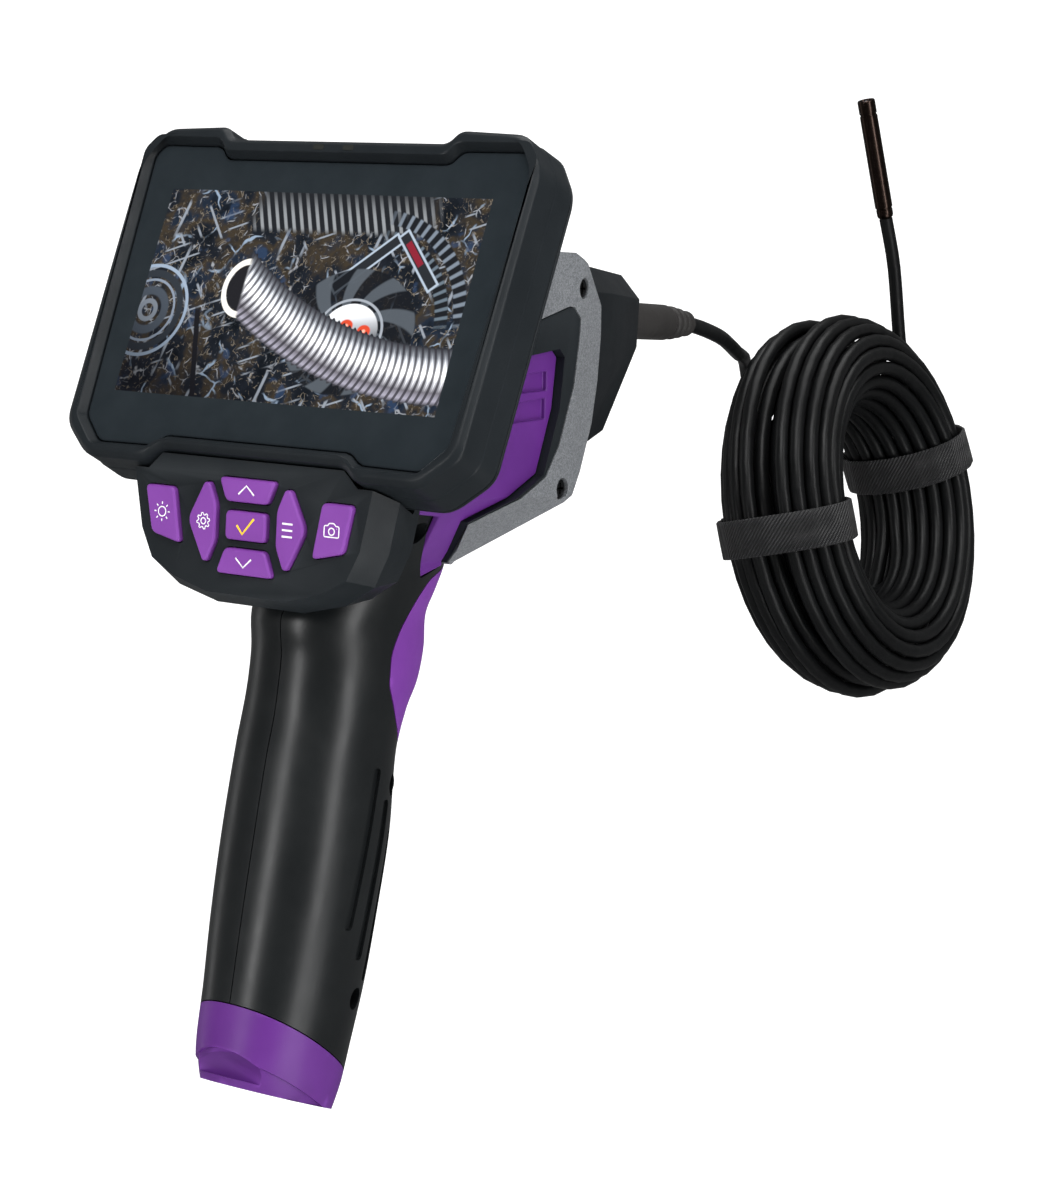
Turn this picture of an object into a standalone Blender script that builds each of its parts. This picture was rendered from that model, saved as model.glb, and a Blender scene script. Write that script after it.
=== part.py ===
"""Handheld pipe inspection camera: a pistol-shaped viewer, its coiled push cable and its camera head.

Metres, +Z up, +Y forward out of the nose, +X to the user's right. The origin is the middle of the hand grip.
Side outlines are lists of (forward, up) points measured from the middle of the display.
"""
import math

import bmesh
import bpy
from mathutils import Matrix, Vector

MM = 0.001

# Display and its housing, in the display's own axes: x right, y up along the screen, z toward the user.
DISPLAY_TILT = math.radians(21)
DISPLAY_FORWARD = -16 * MM
DISPLAY_UP = 125 * MM
HOUSING_HALF_WIDTH = 59.0 * MM
HOUSING_HALF_HEIGHT = 43.5 * MM
HOUSING_FRONT = 3.0 * MM
HOUSING_DEPTH = 15 * MM
HOUSING_FLARE = 0.9 * MM
HOUSING_WALL = 2.4 * MM
GLASS_RIM = 2.8 * MM
GLASS_FACE = 0.5 * MM
GLASS_THICKNESS = 1.5 * MM
LEDGE_WIDTH = 2.2 * MM
LEDGE_THICKNESS = 1.2 * MM
BACK_THICKNESS = 3.0 * MM
LCD_WIDTH = 103 * MM
LCD_HEIGHT = 62 * MM
LCD_THICKNESS = 3.2 * MM
BOARD_WIDTH = 96 * MM
BOARD_HEIGHT = 56 * MM
BOARD_THICKNESS = 1.6 * MM
BOARD_DEPTH = 8.6 * MM

# Keypad tongue under the display.
KEYPAD_HALF_WIDTH = 39.0 * MM
KEYPAD_FACE = -15.4 * MM
KEYPAD_RIM = -9.2 * MM
KEYPAD_BACK = 1.2 * MM
KEYPAD_WALL = 2.2 * MM
KEY_PROUD = 1.4 * MM
KEY_FLANGE = 0.6 * MM
KEY_TRAVEL = 0.8 * MM

# Head behind the display, and its cowl.
HEAD_HALF_WIDTH = 36.5 * MM
COWL_WALL = 2.4 * MM
HEAD_FRONT_NARROWING = 0.07
NECK_NARROWING = 0.42
NECK_START = -46 * MM
NECK_END = -63 * MM
PANEL_RECESS = 2.4 * MM
PANEL_THICKNESS = 2.2 * MM
VENT_DEPTH = 1.2 * MM

# Nose and the cable connector.
NOSE_INSET = 9.5 * MM
NOSE_HALF_WIDTH = HEAD_HALF_WIDTH - NOSE_INSET
NOSE_FRONT = 126 * MM
NOSE_ROOT = 78 * MM
NOSE_WALL = 2.4 * MM
CABLE_HEIGHT = -1.0 * MM
SOCKET_RADIUS = 6.0 * MM
LOCK_RING_RADIUS = 8.6 * MM
LOCK_RING_LENGTH = 11 * MM
SLEEVE_RADIUS = 5.4 * MM
SLEEVE_END = 192.5 * MM

# Handle.
GRIP_HALF_WIDTH = 18 * MM
HANDLE_WALL = 4.6 * MM
HANDLE_LEAN = math.radians(8.7)
SOFT_GRIP_THICKNESS = 2.4 * MM
BATTERY_RADIUS = 9.2 * MM
BATTERY_LENGTH = 65 * MM
BATTERY_HEIGHT = -132 * MM
BATTERY_BACK = 4 * MM
SCREW_HEAD_RADIUS = 2.5 * MM
SCREW_SHANK_RADIUS = 1.3 * MM
SHANK_START = -9.4 * MM
BOSS_RADIUS = 3.8 * MM
BOSS_PAST_SEAT = 8.4 * MM

# Trigger.
TRIGGER_HEIGHT = -86 * MM
TRIGGER_TRAVEL = 1.5 * MM
TRIGGER_FACE = 53.0 * MM
TRIGGER_ROOT = 42.0 * MM
TRIGGER_HALF_WIDTH = 5 * MM
TRIGGER_HALF_HEIGHT = 9.5 * MM
TRIGGER_BUTTON_RADIUS = 3.0 * MM

# Cable, coil and camera head.
CABLE_DIAMETER = 4.6 * MM
COIL_RADIUS = 48.5 * MM
COIL_TURN = math.radians(2)
COIL_LEAN = math.radians(12.8)
BUNDLE_DEPTH = 16.5 * MM
BUNDLE_HALF_WIDTH = 21 * MM
TIE_WIDTH = 12.5 * MM
TIE_THICKNESS = 1.6 * MM
TIE_CLEARANCE = 1.0 * MM
CAMERA_RADIUS = 3.0 * MM
CAMERA_LENGTH = 41 * MM

GAP = 0.3 * MM
SEAM = 0.3 * MM

DARK = (0.028, 0.031, 0.034)
BLACK = (0.012, 0.013, 0.015)
PURPLE = (0.19, 0.045, 0.36)
SILVER = (0.52, 0.54, 0.57)


# ---------------------------------------------------------------- helpers
def clear_scene():
    for item in list(bpy.data.objects):
        bpy.data.objects.remove(item, do_unlink=True)


def material(name, colour, roughness, metallic=0.0):
    """One Principled material per piece."""
    made = bpy.data.materials.new(name)
    made.use_nodes = True
    shader = made.node_tree.nodes["Principled BSDF"]
    shader.inputs["Base Color"].default_value = (*colour, 1.0)
    shader.inputs["Roughness"].default_value = roughness
    shader.inputs["Metallic"].default_value = metallic
    made.diffuse_color = (*colour, 1.0)
    return made


def piece(name, mesh_data, look, parent=None, round_piece=False):
    """Turns a bmesh into a named object with its own material."""
    bmesh.ops.remove_doubles(mesh_data, verts=mesh_data.verts, dist=1e-7)
    bmesh.ops.recalc_face_normals(mesh_data, faces=mesh_data.faces)
    mesh = bpy.data.meshes.new(name)
    mesh_data.to_mesh(mesh)
    mesh_data.free()
    made = bpy.data.objects.new(name, mesh)
    bpy.context.scene.collection.objects.link(made)
    made.parent = parent
    if look:
        mesh.materials.append(material(name, *look))
    else:
        made.hide_render = True
        made.display_type = "WIRE"
    if round_piece:
        for face in mesh.polygons:
            face.use_smooth = True
    return made


def cutter(name, mesh_data, parent=None):
    """A helper solid that only shapes other pieces."""
    return piece(name + "_tool", mesh_data, None, parent)


def boolean(target, other, operation="DIFFERENCE"):
    step = target.modifiers.new(operation.title() + "_" + other.name, "BOOLEAN")
    step.operation = operation
    step.solver = "EXACT"
    step.object = other


def edge_bevel(target, width, segments=1, angle=35):
    step = target.modifiers.new("Edge", "BEVEL")
    step.width = width
    step.segments = segments
    step.limit_method = "ANGLE"
    step.angle_limit = math.radians(angle)


def area(outline):
    total = 0.0
    for (ax, ay), (bx, by) in zip(outline, outline[1:] + outline[:1]):
        total += ax * by - bx * ay
    return total / 2


def offset(outline, distance):
    """The outline moved outward by distance, or inward where it is negative, with sharp corners kept."""
    turn = 1 if area(outline) > 0 else -1
    moved = []
    count = len(outline)
    for index, (x, y) in enumerate(outline):
        before = outline[index - 1]
        after = outline[(index + 1) % count]
        first = Vector((x - before[0], y - before[1])).normalized()
        second = Vector((after[0] - x, after[1] - y)).normalized()
        normal_a = Vector((first.y, -first.x)) * turn
        normal_b = Vector((second.y, -second.x)) * turn
        middle = normal_a + normal_b
        scale = distance * 2 / middle.length_squared
        moved.append((x + middle.x * scale, y + middle.y * scale))
    return moved


AXES = {"X": (1, 2, 0), "Y": (0, 2, 1), "Z": (0, 1, 2)}


def point_on(axis, pair, level):
    first, second, along = AXES[axis]
    place = [0.0, 0.0, 0.0]
    place[first] = pair[0]
    place[second] = pair[1]
    place[along] = level
    return place


def stack(axis, levels):
    """A closed solid through outlines that hold equally many points: levels is a list of (outline, level)."""
    data = bmesh.new()
    rings = [[data.verts.new(point_on(axis, pair, level)) for pair in outline] for outline, level in levels]
    data.faces.new(rings[0])
    data.faces.new(rings[-1])
    for low, high in zip(rings, rings[1:]):
        count = len(low)
        for index in range(count):
            after = (index + 1) % count
            data.faces.new((low[index], low[after], high[after], high[index]))
    return data


def prism(axis, outline, low, high):
    return stack(axis, [(outline, low), (outline, high)])


def block(size, centre):
    data = bmesh.new()
    bmesh.ops.create_cube(data, size=1.0, matrix=Matrix.Translation(centre) @ Matrix.Diagonal((*size, 1.0)))
    return data


def rod(axis, radius, low, high, centre=(0.0, 0.0), segments=20):
    """A plain round bar along one axis; centre is its place across that axis."""
    outline = []
    for index in range(segments):
        turn = 2 * math.pi * index / segments
        outline.append((centre[0] + radius * math.cos(turn), centre[1] + radius * math.sin(turn)))
    return prism(axis, outline, low, high)


def turned(profile, segments=24, axis=(0, 1, 0)):
    """A solid turned about an axis through the origin: profile is a closed list of (radius, along)."""
    data = bmesh.new()
    along = Vector(axis).normalized()
    side = along.orthogonal().normalized()
    ring = [data.verts.new(side * radius + along * place) for radius, place in profile]
    on_axis = all(radius > 1e-9 for radius, place in profile)
    edges = [data.edges.new((a, b)) for a, b in zip(ring, ring[1:])]
    if on_axis:
        edges.append(data.edges.new((ring[-1], ring[0])))
    bmesh.ops.spin(data, geom=ring + edges, axis=along, cent=(0, 0, 0), angle=2 * math.pi, steps=segments)
    bmesh.ops.remove_doubles(data, verts=data.verts, dist=1e-6)
    return data


def keep_side(data, place, normal):
    """Cuts the solid with a plane, drops the part on the normal's side and closes the cut."""
    geometry = data.verts[:] + data.edges[:] + data.faces[:]
    cut = bmesh.ops.bisect_plane(data, geom=geometry, plane_co=place, plane_no=normal, clear_outer=True)
    edges = [item for item in cut["geom_cut"] if isinstance(item, bmesh.types.BMEdge)]
    if edges:
        bmesh.ops.holes_fill(data, edges=edges, sides=0)
    return data


def mirrored(outline):
    """The right-hand half of an outline, from its bottom up, with the left-hand half added."""
    return outline + [(-x, y) for x, y in reversed(outline)]


def round_corners(outline, radius, steps=3):
    """The outline with each corner cut to a short arc."""
    rounded = []
    count = len(outline)
    for index, corner in enumerate(outline):
        here = Vector(corner)
        back = Vector(outline[index - 1]) - here
        ahead = Vector(outline[(index + 1) % count]) - here
        reach = min(radius, back.length * 0.45, ahead.length * 0.45)
        start = here + back.normalized() * reach
        end = here + ahead.normalized() * reach
        for step in range(steps + 1):
            part = step / steps
            spot = start.lerp(here, part).lerp(here.lerp(end, part), part)
            rounded.append((spot.x, spot.y))
    return rounded


clear_scene()

# ---------------------------------------------------------------- frames
head_frame = bpy.data.objects.new("head_frame", None)
bpy.context.scene.collection.objects.link(head_frame)
head_frame.location = (0, DISPLAY_FORWARD, DISPLAY_UP)

screen_frame = bpy.data.objects.new("screen_frame", None)
bpy.context.scene.collection.objects.link(screen_frame)
screen_frame.parent = head_frame
screen_frame.rotation_euler = (math.pi / 2 - DISPLAY_TILT, 0, 0)


def from_screen(y, z):
    """(forward, up) in the head frame of a point given along and out of the screen."""
    sine = math.sin(DISPLAY_TILT)
    cosine = math.cos(DISPLAY_TILT)
    return (y * sine - z * cosine, y * cosine + z * sine)


SCREEN_OUT = Vector((0, -math.cos(DISPLAY_TILT), math.sin(DISPLAY_TILT)))

# ---------------------------------------------------------------- display housing
w = HOUSING_HALF_WIDTH
h = HOUSING_HALF_HEIGHT
rim_outline = mirrored([
    (0.46 * w, -h + 2.6 * MM),
    (0.53 * w, -h - 1.0 * MM),
    (w - 9.5 * MM, -h - 1.0 * MM),
    (w - 0.5 * MM, -h + 7.0 * MM),
    (w + 0.5 * MM, h - 10.0 * MM),
    (w - 5.5 * MM, h - 0.8 * MM),
    (0.585 * w, h),
    (0.54 * w, h - 3.4 * MM),
])
g = HOUSING_HALF_WIDTH - GLASS_RIM
glass_outline = mirrored([
    (0.485 * g, -h + 6.4 * MM),
    (0.55 * g, -h + 3.6 * MM),
    (g - 8.6 * MM, -h + 3.4 * MM),
    (g - 2.6 * MM, -h + 9.6 * MM),
    (g, h - 7.6 * MM),
    (g - 2.2 * MM, h - 4.9 * MM),
    (0.64 * g, h - 5.0 * MM),
    (0.59 * g, h - 8.4 * MM),
])
HOUSING_REAR = HOUSING_FRONT - HOUSING_DEPTH
BACK_REAR = HOUSING_REAR - GAP - BACK_THICKNESS

bezel = piece(
    "screen_bezel",
    stack("Z", [
        (offset(rim_outline, HOUSING_FLARE), HOUSING_REAR),
        (rim_outline, HOUSING_FRONT - 1.4 * MM),
        (offset(rim_outline, -1.4 * MM), HOUSING_FRONT),
    ]),
    (DARK, 0.42), screen_frame)
ledge_rear = GLASS_FACE - GLASS_THICKNESS - GAP - LEDGE_THICKNESS
boolean(bezel, cutter("bezel_window", stack("Z", [
    (offset(glass_outline, GAP), ledge_rear + LEDGE_THICKNESS),
    (offset(glass_outline, GAP), GLASS_FACE),
    (offset(glass_outline, GAP + 1.5 * MM), HOUSING_FRONT + 0.4 * MM),
]), screen_frame))
boolean(bezel, cutter("bezel_view", prism(
    "Z", offset(glass_outline, -LEDGE_WIDTH), ledge_rear - 1 * MM, HOUSING_FRONT), screen_frame))
boolean(bezel, cutter("bezel_hollow", prism(
    "Z", offset(rim_outline, -HOUSING_WALL), HOUSING_REAR - 1 * MM, ledge_rear), screen_frame))

piece("display_window", prism("Z", glass_outline, GLASS_FACE - GLASS_THICKNESS, GLASS_FACE),
      ((0.01, 0.011, 0.013), 0.06), screen_frame)

LCD_FACE = ledge_rear - GAP
piece("display_module", block((LCD_WIDTH, LCD_HEIGHT, LCD_THICKNESS), (0, 0, LCD_FACE - LCD_THICKNESS / 2)),
      ((0.05, 0.06, 0.08), 0.3), screen_frame)

board = piece("main_board", block((BOARD_WIDTH, BOARD_HEIGHT, BOARD_THICKNESS),
              (0, 0, -BOARD_DEPTH)), ((0.015, 0.11, 0.05), 0.5), screen_frame)

back_outline = offset(rim_outline, HOUSING_FLARE)
back = piece("screen_back", stack("Z", [
    (offset(back_outline, -2.2 * MM), BACK_REAR),
    (back_outline, BACK_REAR + 1.6 * MM),
    (back_outline, HOUSING_REAR - GAP),
]), (DARK, 0.45), screen_frame)
PILLARS = [(x, y) for x in (-1, 1) for y in (-1, 1)]
for number, (x, y) in enumerate(PILLARS):
    place = (x * (BOARD_WIDTH / 2 - 5 * MM), y * (BOARD_HEIGHT / 2 - 5 * MM))
    boolean(back, cutter(f"pillar_{number}", rod(
        "Z", 3 * MM, HOUSING_REAR - GAP - 1 * MM, -BOARD_DEPTH - BOARD_THICKNESS / 2 - GAP, place, 12),
        screen_frame), "UNION")
boolean(back, cutter("back_hatch", prism(
    "Z", round_corners([(-22 * MM, -14 * MM), (22 * MM, -14 * MM), (22 * MM, 10 * MM), (-22 * MM, 10 * MM)],
                       3 * MM), BACK_REAR - 1 * MM, HOUSING_REAR + 1 * MM), screen_frame))

# Two small indicator windows in the strip over the glass.
LED_HEIGHT = h - 5.6 * MM
LED_OFFSET = 4.4 * MM
LED_HALF_LENGTH = 1.6 * MM
LED_HALF_HEIGHT = 0.7 * MM
for side, label in ((-1, "left"), (1, "right")):
    left = side * LED_OFFSET - LED_HALF_LENGTH
    right = side * LED_OFFSET + LED_HALF_LENGTH
    low = LED_HEIGHT - LED_HALF_HEIGHT
    high = LED_HEIGHT + LED_HALF_HEIGHT
    outline = round_corners([(left, low), (right, low), (right, high), (left, high)], 0.6 * MM, 2)
    piece(f"indicator_{label}", prism("Z", outline, HOUSING_FRONT - 3.0 * MM, HOUSING_FRONT + 0.1 * MM),
          ((0.12, 0.12, 0.11), 0.25), screen_frame)
    boolean(bezel, cutter(f"indicator_{label}_slot", prism(
        "Z", offset(outline, GAP), HOUSING_FRONT - 6 * MM, HOUSING_FRONT + 1 * MM), screen_frame))

# The space the housing takes up, with its clearance: other pieces are cut back to it.
housing_space = cutter("housing_space", stack("Z", [
    (offset(rim_outline, HOUSING_FLARE + GAP), BACK_REAR - GAP),
    (offset(rim_outline, HOUSING_FLARE + GAP), HOUSING_REAR),
    (offset(rim_outline, GAP), HOUSING_FRONT + 6 * MM),
]), screen_frame)

# ---------------------------------------------------------------- keypad
k = KEYPAD_HALF_WIDTH
keypad_face = mirrored([
    (12 * MM, -70.6 * MM),
    (k - 17.0 * MM, -67.8 * MM),
    (k - 10.0 * MM, -64.0 * MM),
    (k - 6.6 * MM, -57.0 * MM),
    (k - 3.8 * MM, -43.0 * MM),
    (k - 3.4 * MM, -36.0 * MM),
])
keypad_rim = mirrored([
    (13 * MM, -73.6 * MM),
    (k - 14.0 * MM, -70.6 * MM),
    (k - 6.2 * MM, -65.4 * MM),
    (k - 2.6 * MM, -57.4 * MM),
    (k, -43.4 * MM),
    (k + 0.4 * MM, -36.0 * MM),
])
keypad = piece("keypad_shell", stack("Y", [
    (keypad_face, KEYPAD_FACE),
    (keypad_rim, KEYPAD_RIM),
    (offset(keypad_rim, -1.0 * MM), KEYPAD_BACK),
]), (DARK, 0.4), head_frame)
boolean(keypad, cutter("keypad_hollow", stack("Y", [
    (offset(keypad_face, -KEYPAD_WALL), KEYPAD_FACE + KEYPAD_WALL),
    (offset(keypad_face, -KEYPAD_WALL), KEYPAD_BACK + 1 * MM),
]), head_frame))
boolean(keypad, housing_space)
keypad_space = cutter("keypad_space", stack("Y", [
    (offset(keypad_face, GAP), KEYPAD_FACE - GAP),
    (offset(keypad_rim, GAP), KEYPAD_RIM),
    (offset(keypad_rim, GAP), KEYPAD_BACK + GAP),
]), head_frame)

KEYS = {
    "key_up": mirrored([(6.2 * MM, -48.4 * MM), (8.4 * MM, -42.8 * MM)]),
    "key_ok": mirrored([(6.0 * MM, -57.4 * MM), (6.0 * MM, -50.5 * MM)]),
    "key_down": mirrored([(8.4 * MM, -65.6 * MM), (6.0 * MM, -59.4 * MM)]),
    "key_mode": [
        (9.0 * MM, -58.0 * MM),
        (11.3 * MM, -63.2 * MM),
        (12.6 * MM, -63.2 * MM),
        (17.0 * MM, -54.6 * MM),
        (17.0 * MM, -52.6 * MM),
        (12.8 * MM, -44.4 * MM),
        (11.2 * MM, -44.4 * MM),
        (9.0 * MM, -49.4 * MM),
    ],
    "key_photo": [
        (19.6 * MM, -59.8 * MM),
        (28.4 * MM, -57.8 * MM),
        (30.8 * MM, -46.4 * MM),
        (22.0 * MM, -46.4 * MM),
    ],
}
KEYS["key_settings"] = [(-x, z) for x, z in reversed(KEYS["key_mode"])]
KEYS["key_light"] = [(-x, z) for x, z in reversed(KEYS["key_photo"])]
plate_back = KEYPAD_FACE + KEYPAD_WALL
for name, corners in KEYS.items():
    centre = (sum(x for x, z in corners) / len(corners), sum(z for x, z in corners) / len(corners))
    local = round_corners([(x - centre[0], z - centre[1]) for x, z in corners], 1.3 * MM, 3)
    flange = offset(local, KEY_FLANGE)
    key = piece(name, stack("Y", [
        (offset(local, -0.7 * MM), KEYPAD_FACE - KEY_PROUD),
        (local, KEYPAD_FACE - KEY_PROUD + 0.6 * MM),
        (local, plate_back + GAP),
        (flange, plate_back + GAP),
        (flange, plate_back + GAP + 0.6 * MM),
    ]), (PURPLE, 0.45), head_frame)
    key.location = (centre[0], 0, centre[1])
    hole = cutter(name + "_hole", prism(
        "Y", offset(local, GAP), KEYPAD_FACE - 2 * MM, plate_back + 1 * MM), head_frame)
    hole.location = key.location
    boolean(keypad, hole)

mat_face = plate_back + GAP + 0.6 * MM + KEY_TRAVEL + GAP
inner_keypad = offset(keypad_face, -KEYPAD_WALL - 1.5 * MM)
mat = piece("keypad_mat", prism("Y", inner_keypad, mat_face, mat_face + 1 * MM),
            ((0.03, 0.03, 0.03), 0.8), head_frame)
switches = piece("keypad_board", prism("Y", inner_keypad, mat_face + 1 * MM + GAP, mat_face + 2.4 * MM + GAP),
                 ((0.015, 0.11, 0.05), 0.5), head_frame)
boolean(mat, housing_space)
boolean(switches, housing_space)

# ---------------------------------------------------------------- head
TRIM_PLACE = Vector((0, *from_screen(0, BACK_REAR - GAP)))


def behind_housing(data):
    return keep_side(data, TRIM_PLACE, SCREEN_OUT)


head_outline = [(y * MM, z * MM) for y, z in (
    (-20, 14), (66, 15.4), (73, 13), (84, 2.6), (85, -5), (84.4, -17), (82, -28), (76, -40),
    (70, -48), (63, -51.6), (40, -63.8), (36.5, -63.2), (20, -49.6), (-20, -46.4))]
window_outline = [(y * MM, z * MM) for y, z in (
    (-20, -21), (51, -1.7), (64.4, 1.9), (67, 1.7), (70.4, -1), (70.6, -4), (69, -18), (63.4, -33.2),
    (57.8, -41.1), (32.5, -52.6), (38, -60), (39.5, -66), (30, -75), (-20, -75))]
panel_outline = [(y * MM, z * MM) for y, z in (
    (-20, -20.4), (61, -9.2), (63.4, -11), (62.4, -24), (56.6, -40.4), (31.2, -51.8), (36.6, -60.2),
    (38, -64), (28.6, -66.4), (19.6, -50.2), (-20, -46.6))]


def narrowed(data):
    """Draws the head in toward the neck below and slightly toward the nose in front."""
    for level in (NECK_START, NECK_START + (NECK_END - NECK_START) / 2, NECK_END):
        geometry = data.verts[:] + data.edges[:] + data.faces[:]
        bmesh.ops.bisect_plane(data, geom=geometry, plane_co=(0, 0, level), plane_no=(0, 0, 1))
    geometry = data.verts[:] + data.edges[:] + data.faces[:]
    bmesh.ops.bisect_plane(data, geom=geometry, plane_co=(0, 70 * MM, 0), plane_no=(0, 1, 0))
    for vertex in data.verts:
        below = min(1.0, max(0.0, (NECK_START - vertex.co.z) / (NECK_START - NECK_END)))
        ahead = min(1.0, max(0.0, (vertex.co.y - 70 * MM) / (15 * MM)))
        vertex.co.x *= (1 - NECK_NARROWING * below) * (1 - HEAD_FRONT_NARROWING * ahead)
    return data


cowl = piece("cowl", narrowed(behind_housing(prism("X", head_outline, -HEAD_HALF_WIDTH, HEAD_HALF_WIDTH))),
             (SILVER, 0.38, 0.35), head_frame)
hollow = [(y, z) for y, z in offset(head_outline, -COWL_WALL)]
hollow[0] = (-40 * MM, hollow[0][1])
hollow[-1] = (-40 * MM, -60 * MM)
hollow[-2] = (18 * MM, -70 * MM)
hollow[-3] = (36 * MM, -70 * MM)
boolean(cowl, cutter("cowl_hollow", narrowed(prism(
    "X", hollow, -HEAD_HALF_WIDTH + COWL_WALL, HEAD_HALF_WIDTH - COWL_WALL)), head_frame))
boolean(cowl, cutter("cowl_window", narrowed(prism(
    "X", window_outline, -HEAD_HALF_WIDTH - 4 * MM, HEAD_HALF_WIDTH + 4 * MM)), head_frame))
boolean(cowl, keypad_space)

# Side frames: a flange behind the cowl, a step out through its window, and the hole for the side panel.
frame_in = HEAD_HALF_WIDTH - COWL_WALL - GAP
COWL_SCREWS = [(71.5 * MM, 6.6 * MM), (66.0 * MM, -44.2 * MM)]
flange_outline = offset(head_outline, -COWL_WALL - GAP)
for side, label in ((-1, "left"), (1, "right")):
    def across(outline, low, high, trim=True, place=side):
        data = prism("X", outline, min(place * low, place * high), max(place * low, place * high))
        if trim:
            behind_housing(data)
        return narrowed(data)

    frame = piece(f"side_frame_{label}", across(flange_outline, frame_in - 2 * MM, frame_in),
                  (BLACK, 0.4), head_frame)
    step = cutter(f"frame_step_{label}", across(
        offset(window_outline, -GAP), frame_in - 1 * MM, HEAD_HALF_WIDTH - 0.2 * MM), head_frame)
    trim = cutter(f"frame_trim_{label}", across(
        offset(head_outline, -GAP), frame_in - 3 * MM, HEAD_HALF_WIDTH + 1 * MM), head_frame)
    boolean(step, trim, "INTERSECT")
    boolean(frame, step, "UNION")
    boolean(frame, cutter(f"frame_hole_{label}", across(
        offset(panel_outline, GAP), frame_in - 6 * MM, HEAD_HALF_WIDTH + 4 * MM, False), head_frame))

    panel_face = HEAD_HALF_WIDTH - PANEL_RECESS
    panel = piece(f"side_panel_{label}", across(panel_outline, panel_face - PANEL_THICKNESS, panel_face),
                  (PURPLE, 0.45), head_frame)
    boolean(panel, keypad_space)
    boolean(frame, keypad_space)
    for number, (low, high) in enumerate(((-19.4, -14.6), (-26.6, -21.4))):
        outline = [
            (36 * MM, (low - 1.6) * MM),
            (59.4 * MM, low * MM),
            (59.0 * MM, high * MM),
            (36 * MM, (high - 2.2) * MM),
        ]
        boolean(panel, cutter(f"vent_{label}_{number}", across(
            outline, panel_face - VENT_DEPTH, panel_face + 2 * MM, False), head_frame))

    for number, (y, z) in enumerate(COWL_SCREWS):
        ahead = min(1.0, max(0.0, (y - 70 * MM) / (15 * MM)))
        surface = HEAD_HALF_WIDTH * (1 - HEAD_FRONT_NARROWING * ahead)
        low = surface - COWL_WALL - GAP - 6 * MM
        seat = surface - COWL_WALL
        boolean(cowl, cutter(f"cowl_screw_hole_{label}_{number}", rod(
            "X", SCREW_HEAD_RADIUS + GAP, side * (seat - 1.5 * MM), side * (surface + 3 * MM), (y, z), 16),
            head_frame))
        boolean(frame, cutter(f"frame_screw_hole_{label}_{number}", rod(
            "X", SCREW_SHANK_RADIUS + GAP, side * (low - 2 * MM), side * (surface + 3 * MM), (y, z), 16),
            head_frame))
        profile = [
            (0, low),
            (SCREW_SHANK_RADIUS, low),
            (SCREW_SHANK_RADIUS, seat + 0.2 * MM),
            (SCREW_HEAD_RADIUS, seat + 0.2 * MM),
            (SCREW_HEAD_RADIUS, surface - 0.7 * MM),
            (0, surface - 0.7 * MM),
        ]
        screw = piece(f"cowl_screw_{label}_{number + 1}", turned(profile, 14, (side, 0, 0)),
                      ((0.03, 0.03, 0.035), 0.3, 0.9), head_frame)
        screw.location = (0, y, z)

# ---------------------------------------------------------------- nose and connector
n = NOSE_HALF_WIDTH


def nose_ring(grow, width, top, shoulder, waist, bottom):
    """Eight corners across the nose, seen from the front."""
    half = width + grow
    return mirrored([
        (0.62 * half, bottom * MM - grow),
        (half, waist * MM - grow * 0.4),
        (half, shoulder * MM + grow * 0.4),
        (0.74 * half, top * MM + grow),
    ])


def nose_body(grow, lengthen_root, shorten_front=0.0):
    """The nose as a solid, grown by a margin all round, so that its hole and its hollow follow the same shape."""
    root = nose_ring(grow, n + 1 * MM, 13, 6, -15, -40.5)
    return stack("Y", [
        (root, NOSE_ROOT - lengthen_root),
        (root, NOSE_ROOT),
        (nose_ring(grow, n + 0.6 * MM, 12.8, 6, -12, -38), NOSE_FRONT - 26 * MM),
        (nose_ring(grow, n - 3 * MM, 11.4, 5, -8, -31.5), NOSE_FRONT - 4.5 * MM - shorten_front),
        (nose_ring(grow, n - 6 * MM, 9.6, 4, -8, -27.5), NOSE_FRONT - shorten_front),
    ])


nose = piece("nose_cap", nose_body(0, 1 * MM), (BLACK, 0.35), head_frame)
boolean(cowl, cutter("cowl_nose_hole", nose_body(GAP, 14 * MM), head_frame))
boolean(nose, cutter("nose_hollow", nose_body(-NOSE_WALL, 4 * MM, NOSE_WALL), head_frame))
boolean(nose, cutter("nose_socket_hole", rod(
    "Y", SOCKET_RADIUS + GAP, NOSE_FRONT - 12 * MM, NOSE_FRONT + 4 * MM, (0, CABLE_HEIGHT)), head_frame))

connector_frame = bpy.data.objects.new("connector_frame", None)
bpy.context.scene.collection.objects.link(connector_frame)
connector_frame.parent = head_frame
connector_frame.location = (0, NOSE_FRONT, CABLE_HEIGHT)

socket_flange = SOCKET_RADIUS + 1.4 * MM
piece("cable_socket", turned([
    (0, -14 * MM), (SOCKET_RADIUS - 1 * MM, -14 * MM), (SOCKET_RADIUS - 1 * MM, -5 * MM), (socket_flange, -5 * MM),
    (socket_flange, -NOSE_WALL - GAP), (SOCKET_RADIUS, -NOSE_WALL - GAP), (SOCKET_RADIUS, 5 * MM), (0, 5 * MM)]),
    ((0.45, 0.45, 0.46), 0.3, 0.9), connector_frame, True)
lock_ring = piece("lock_ring", turned([
    (SOCKET_RADIUS + GAP, GAP + 0.7 * MM), (LOCK_RING_RADIUS - 0.6 * MM, GAP + 0.7 * MM),
    (LOCK_RING_RADIUS, GAP + 1.3 * MM), (LOCK_RING_RADIUS, LOCK_RING_LENGTH - 0.6 * MM),
    (LOCK_RING_RADIUS - 0.6 * MM, LOCK_RING_LENGTH), (SOCKET_RADIUS + GAP, LOCK_RING_LENGTH)], 28),
    ((0.02, 0.02, 0.022), 0.45), connector_frame)
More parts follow.
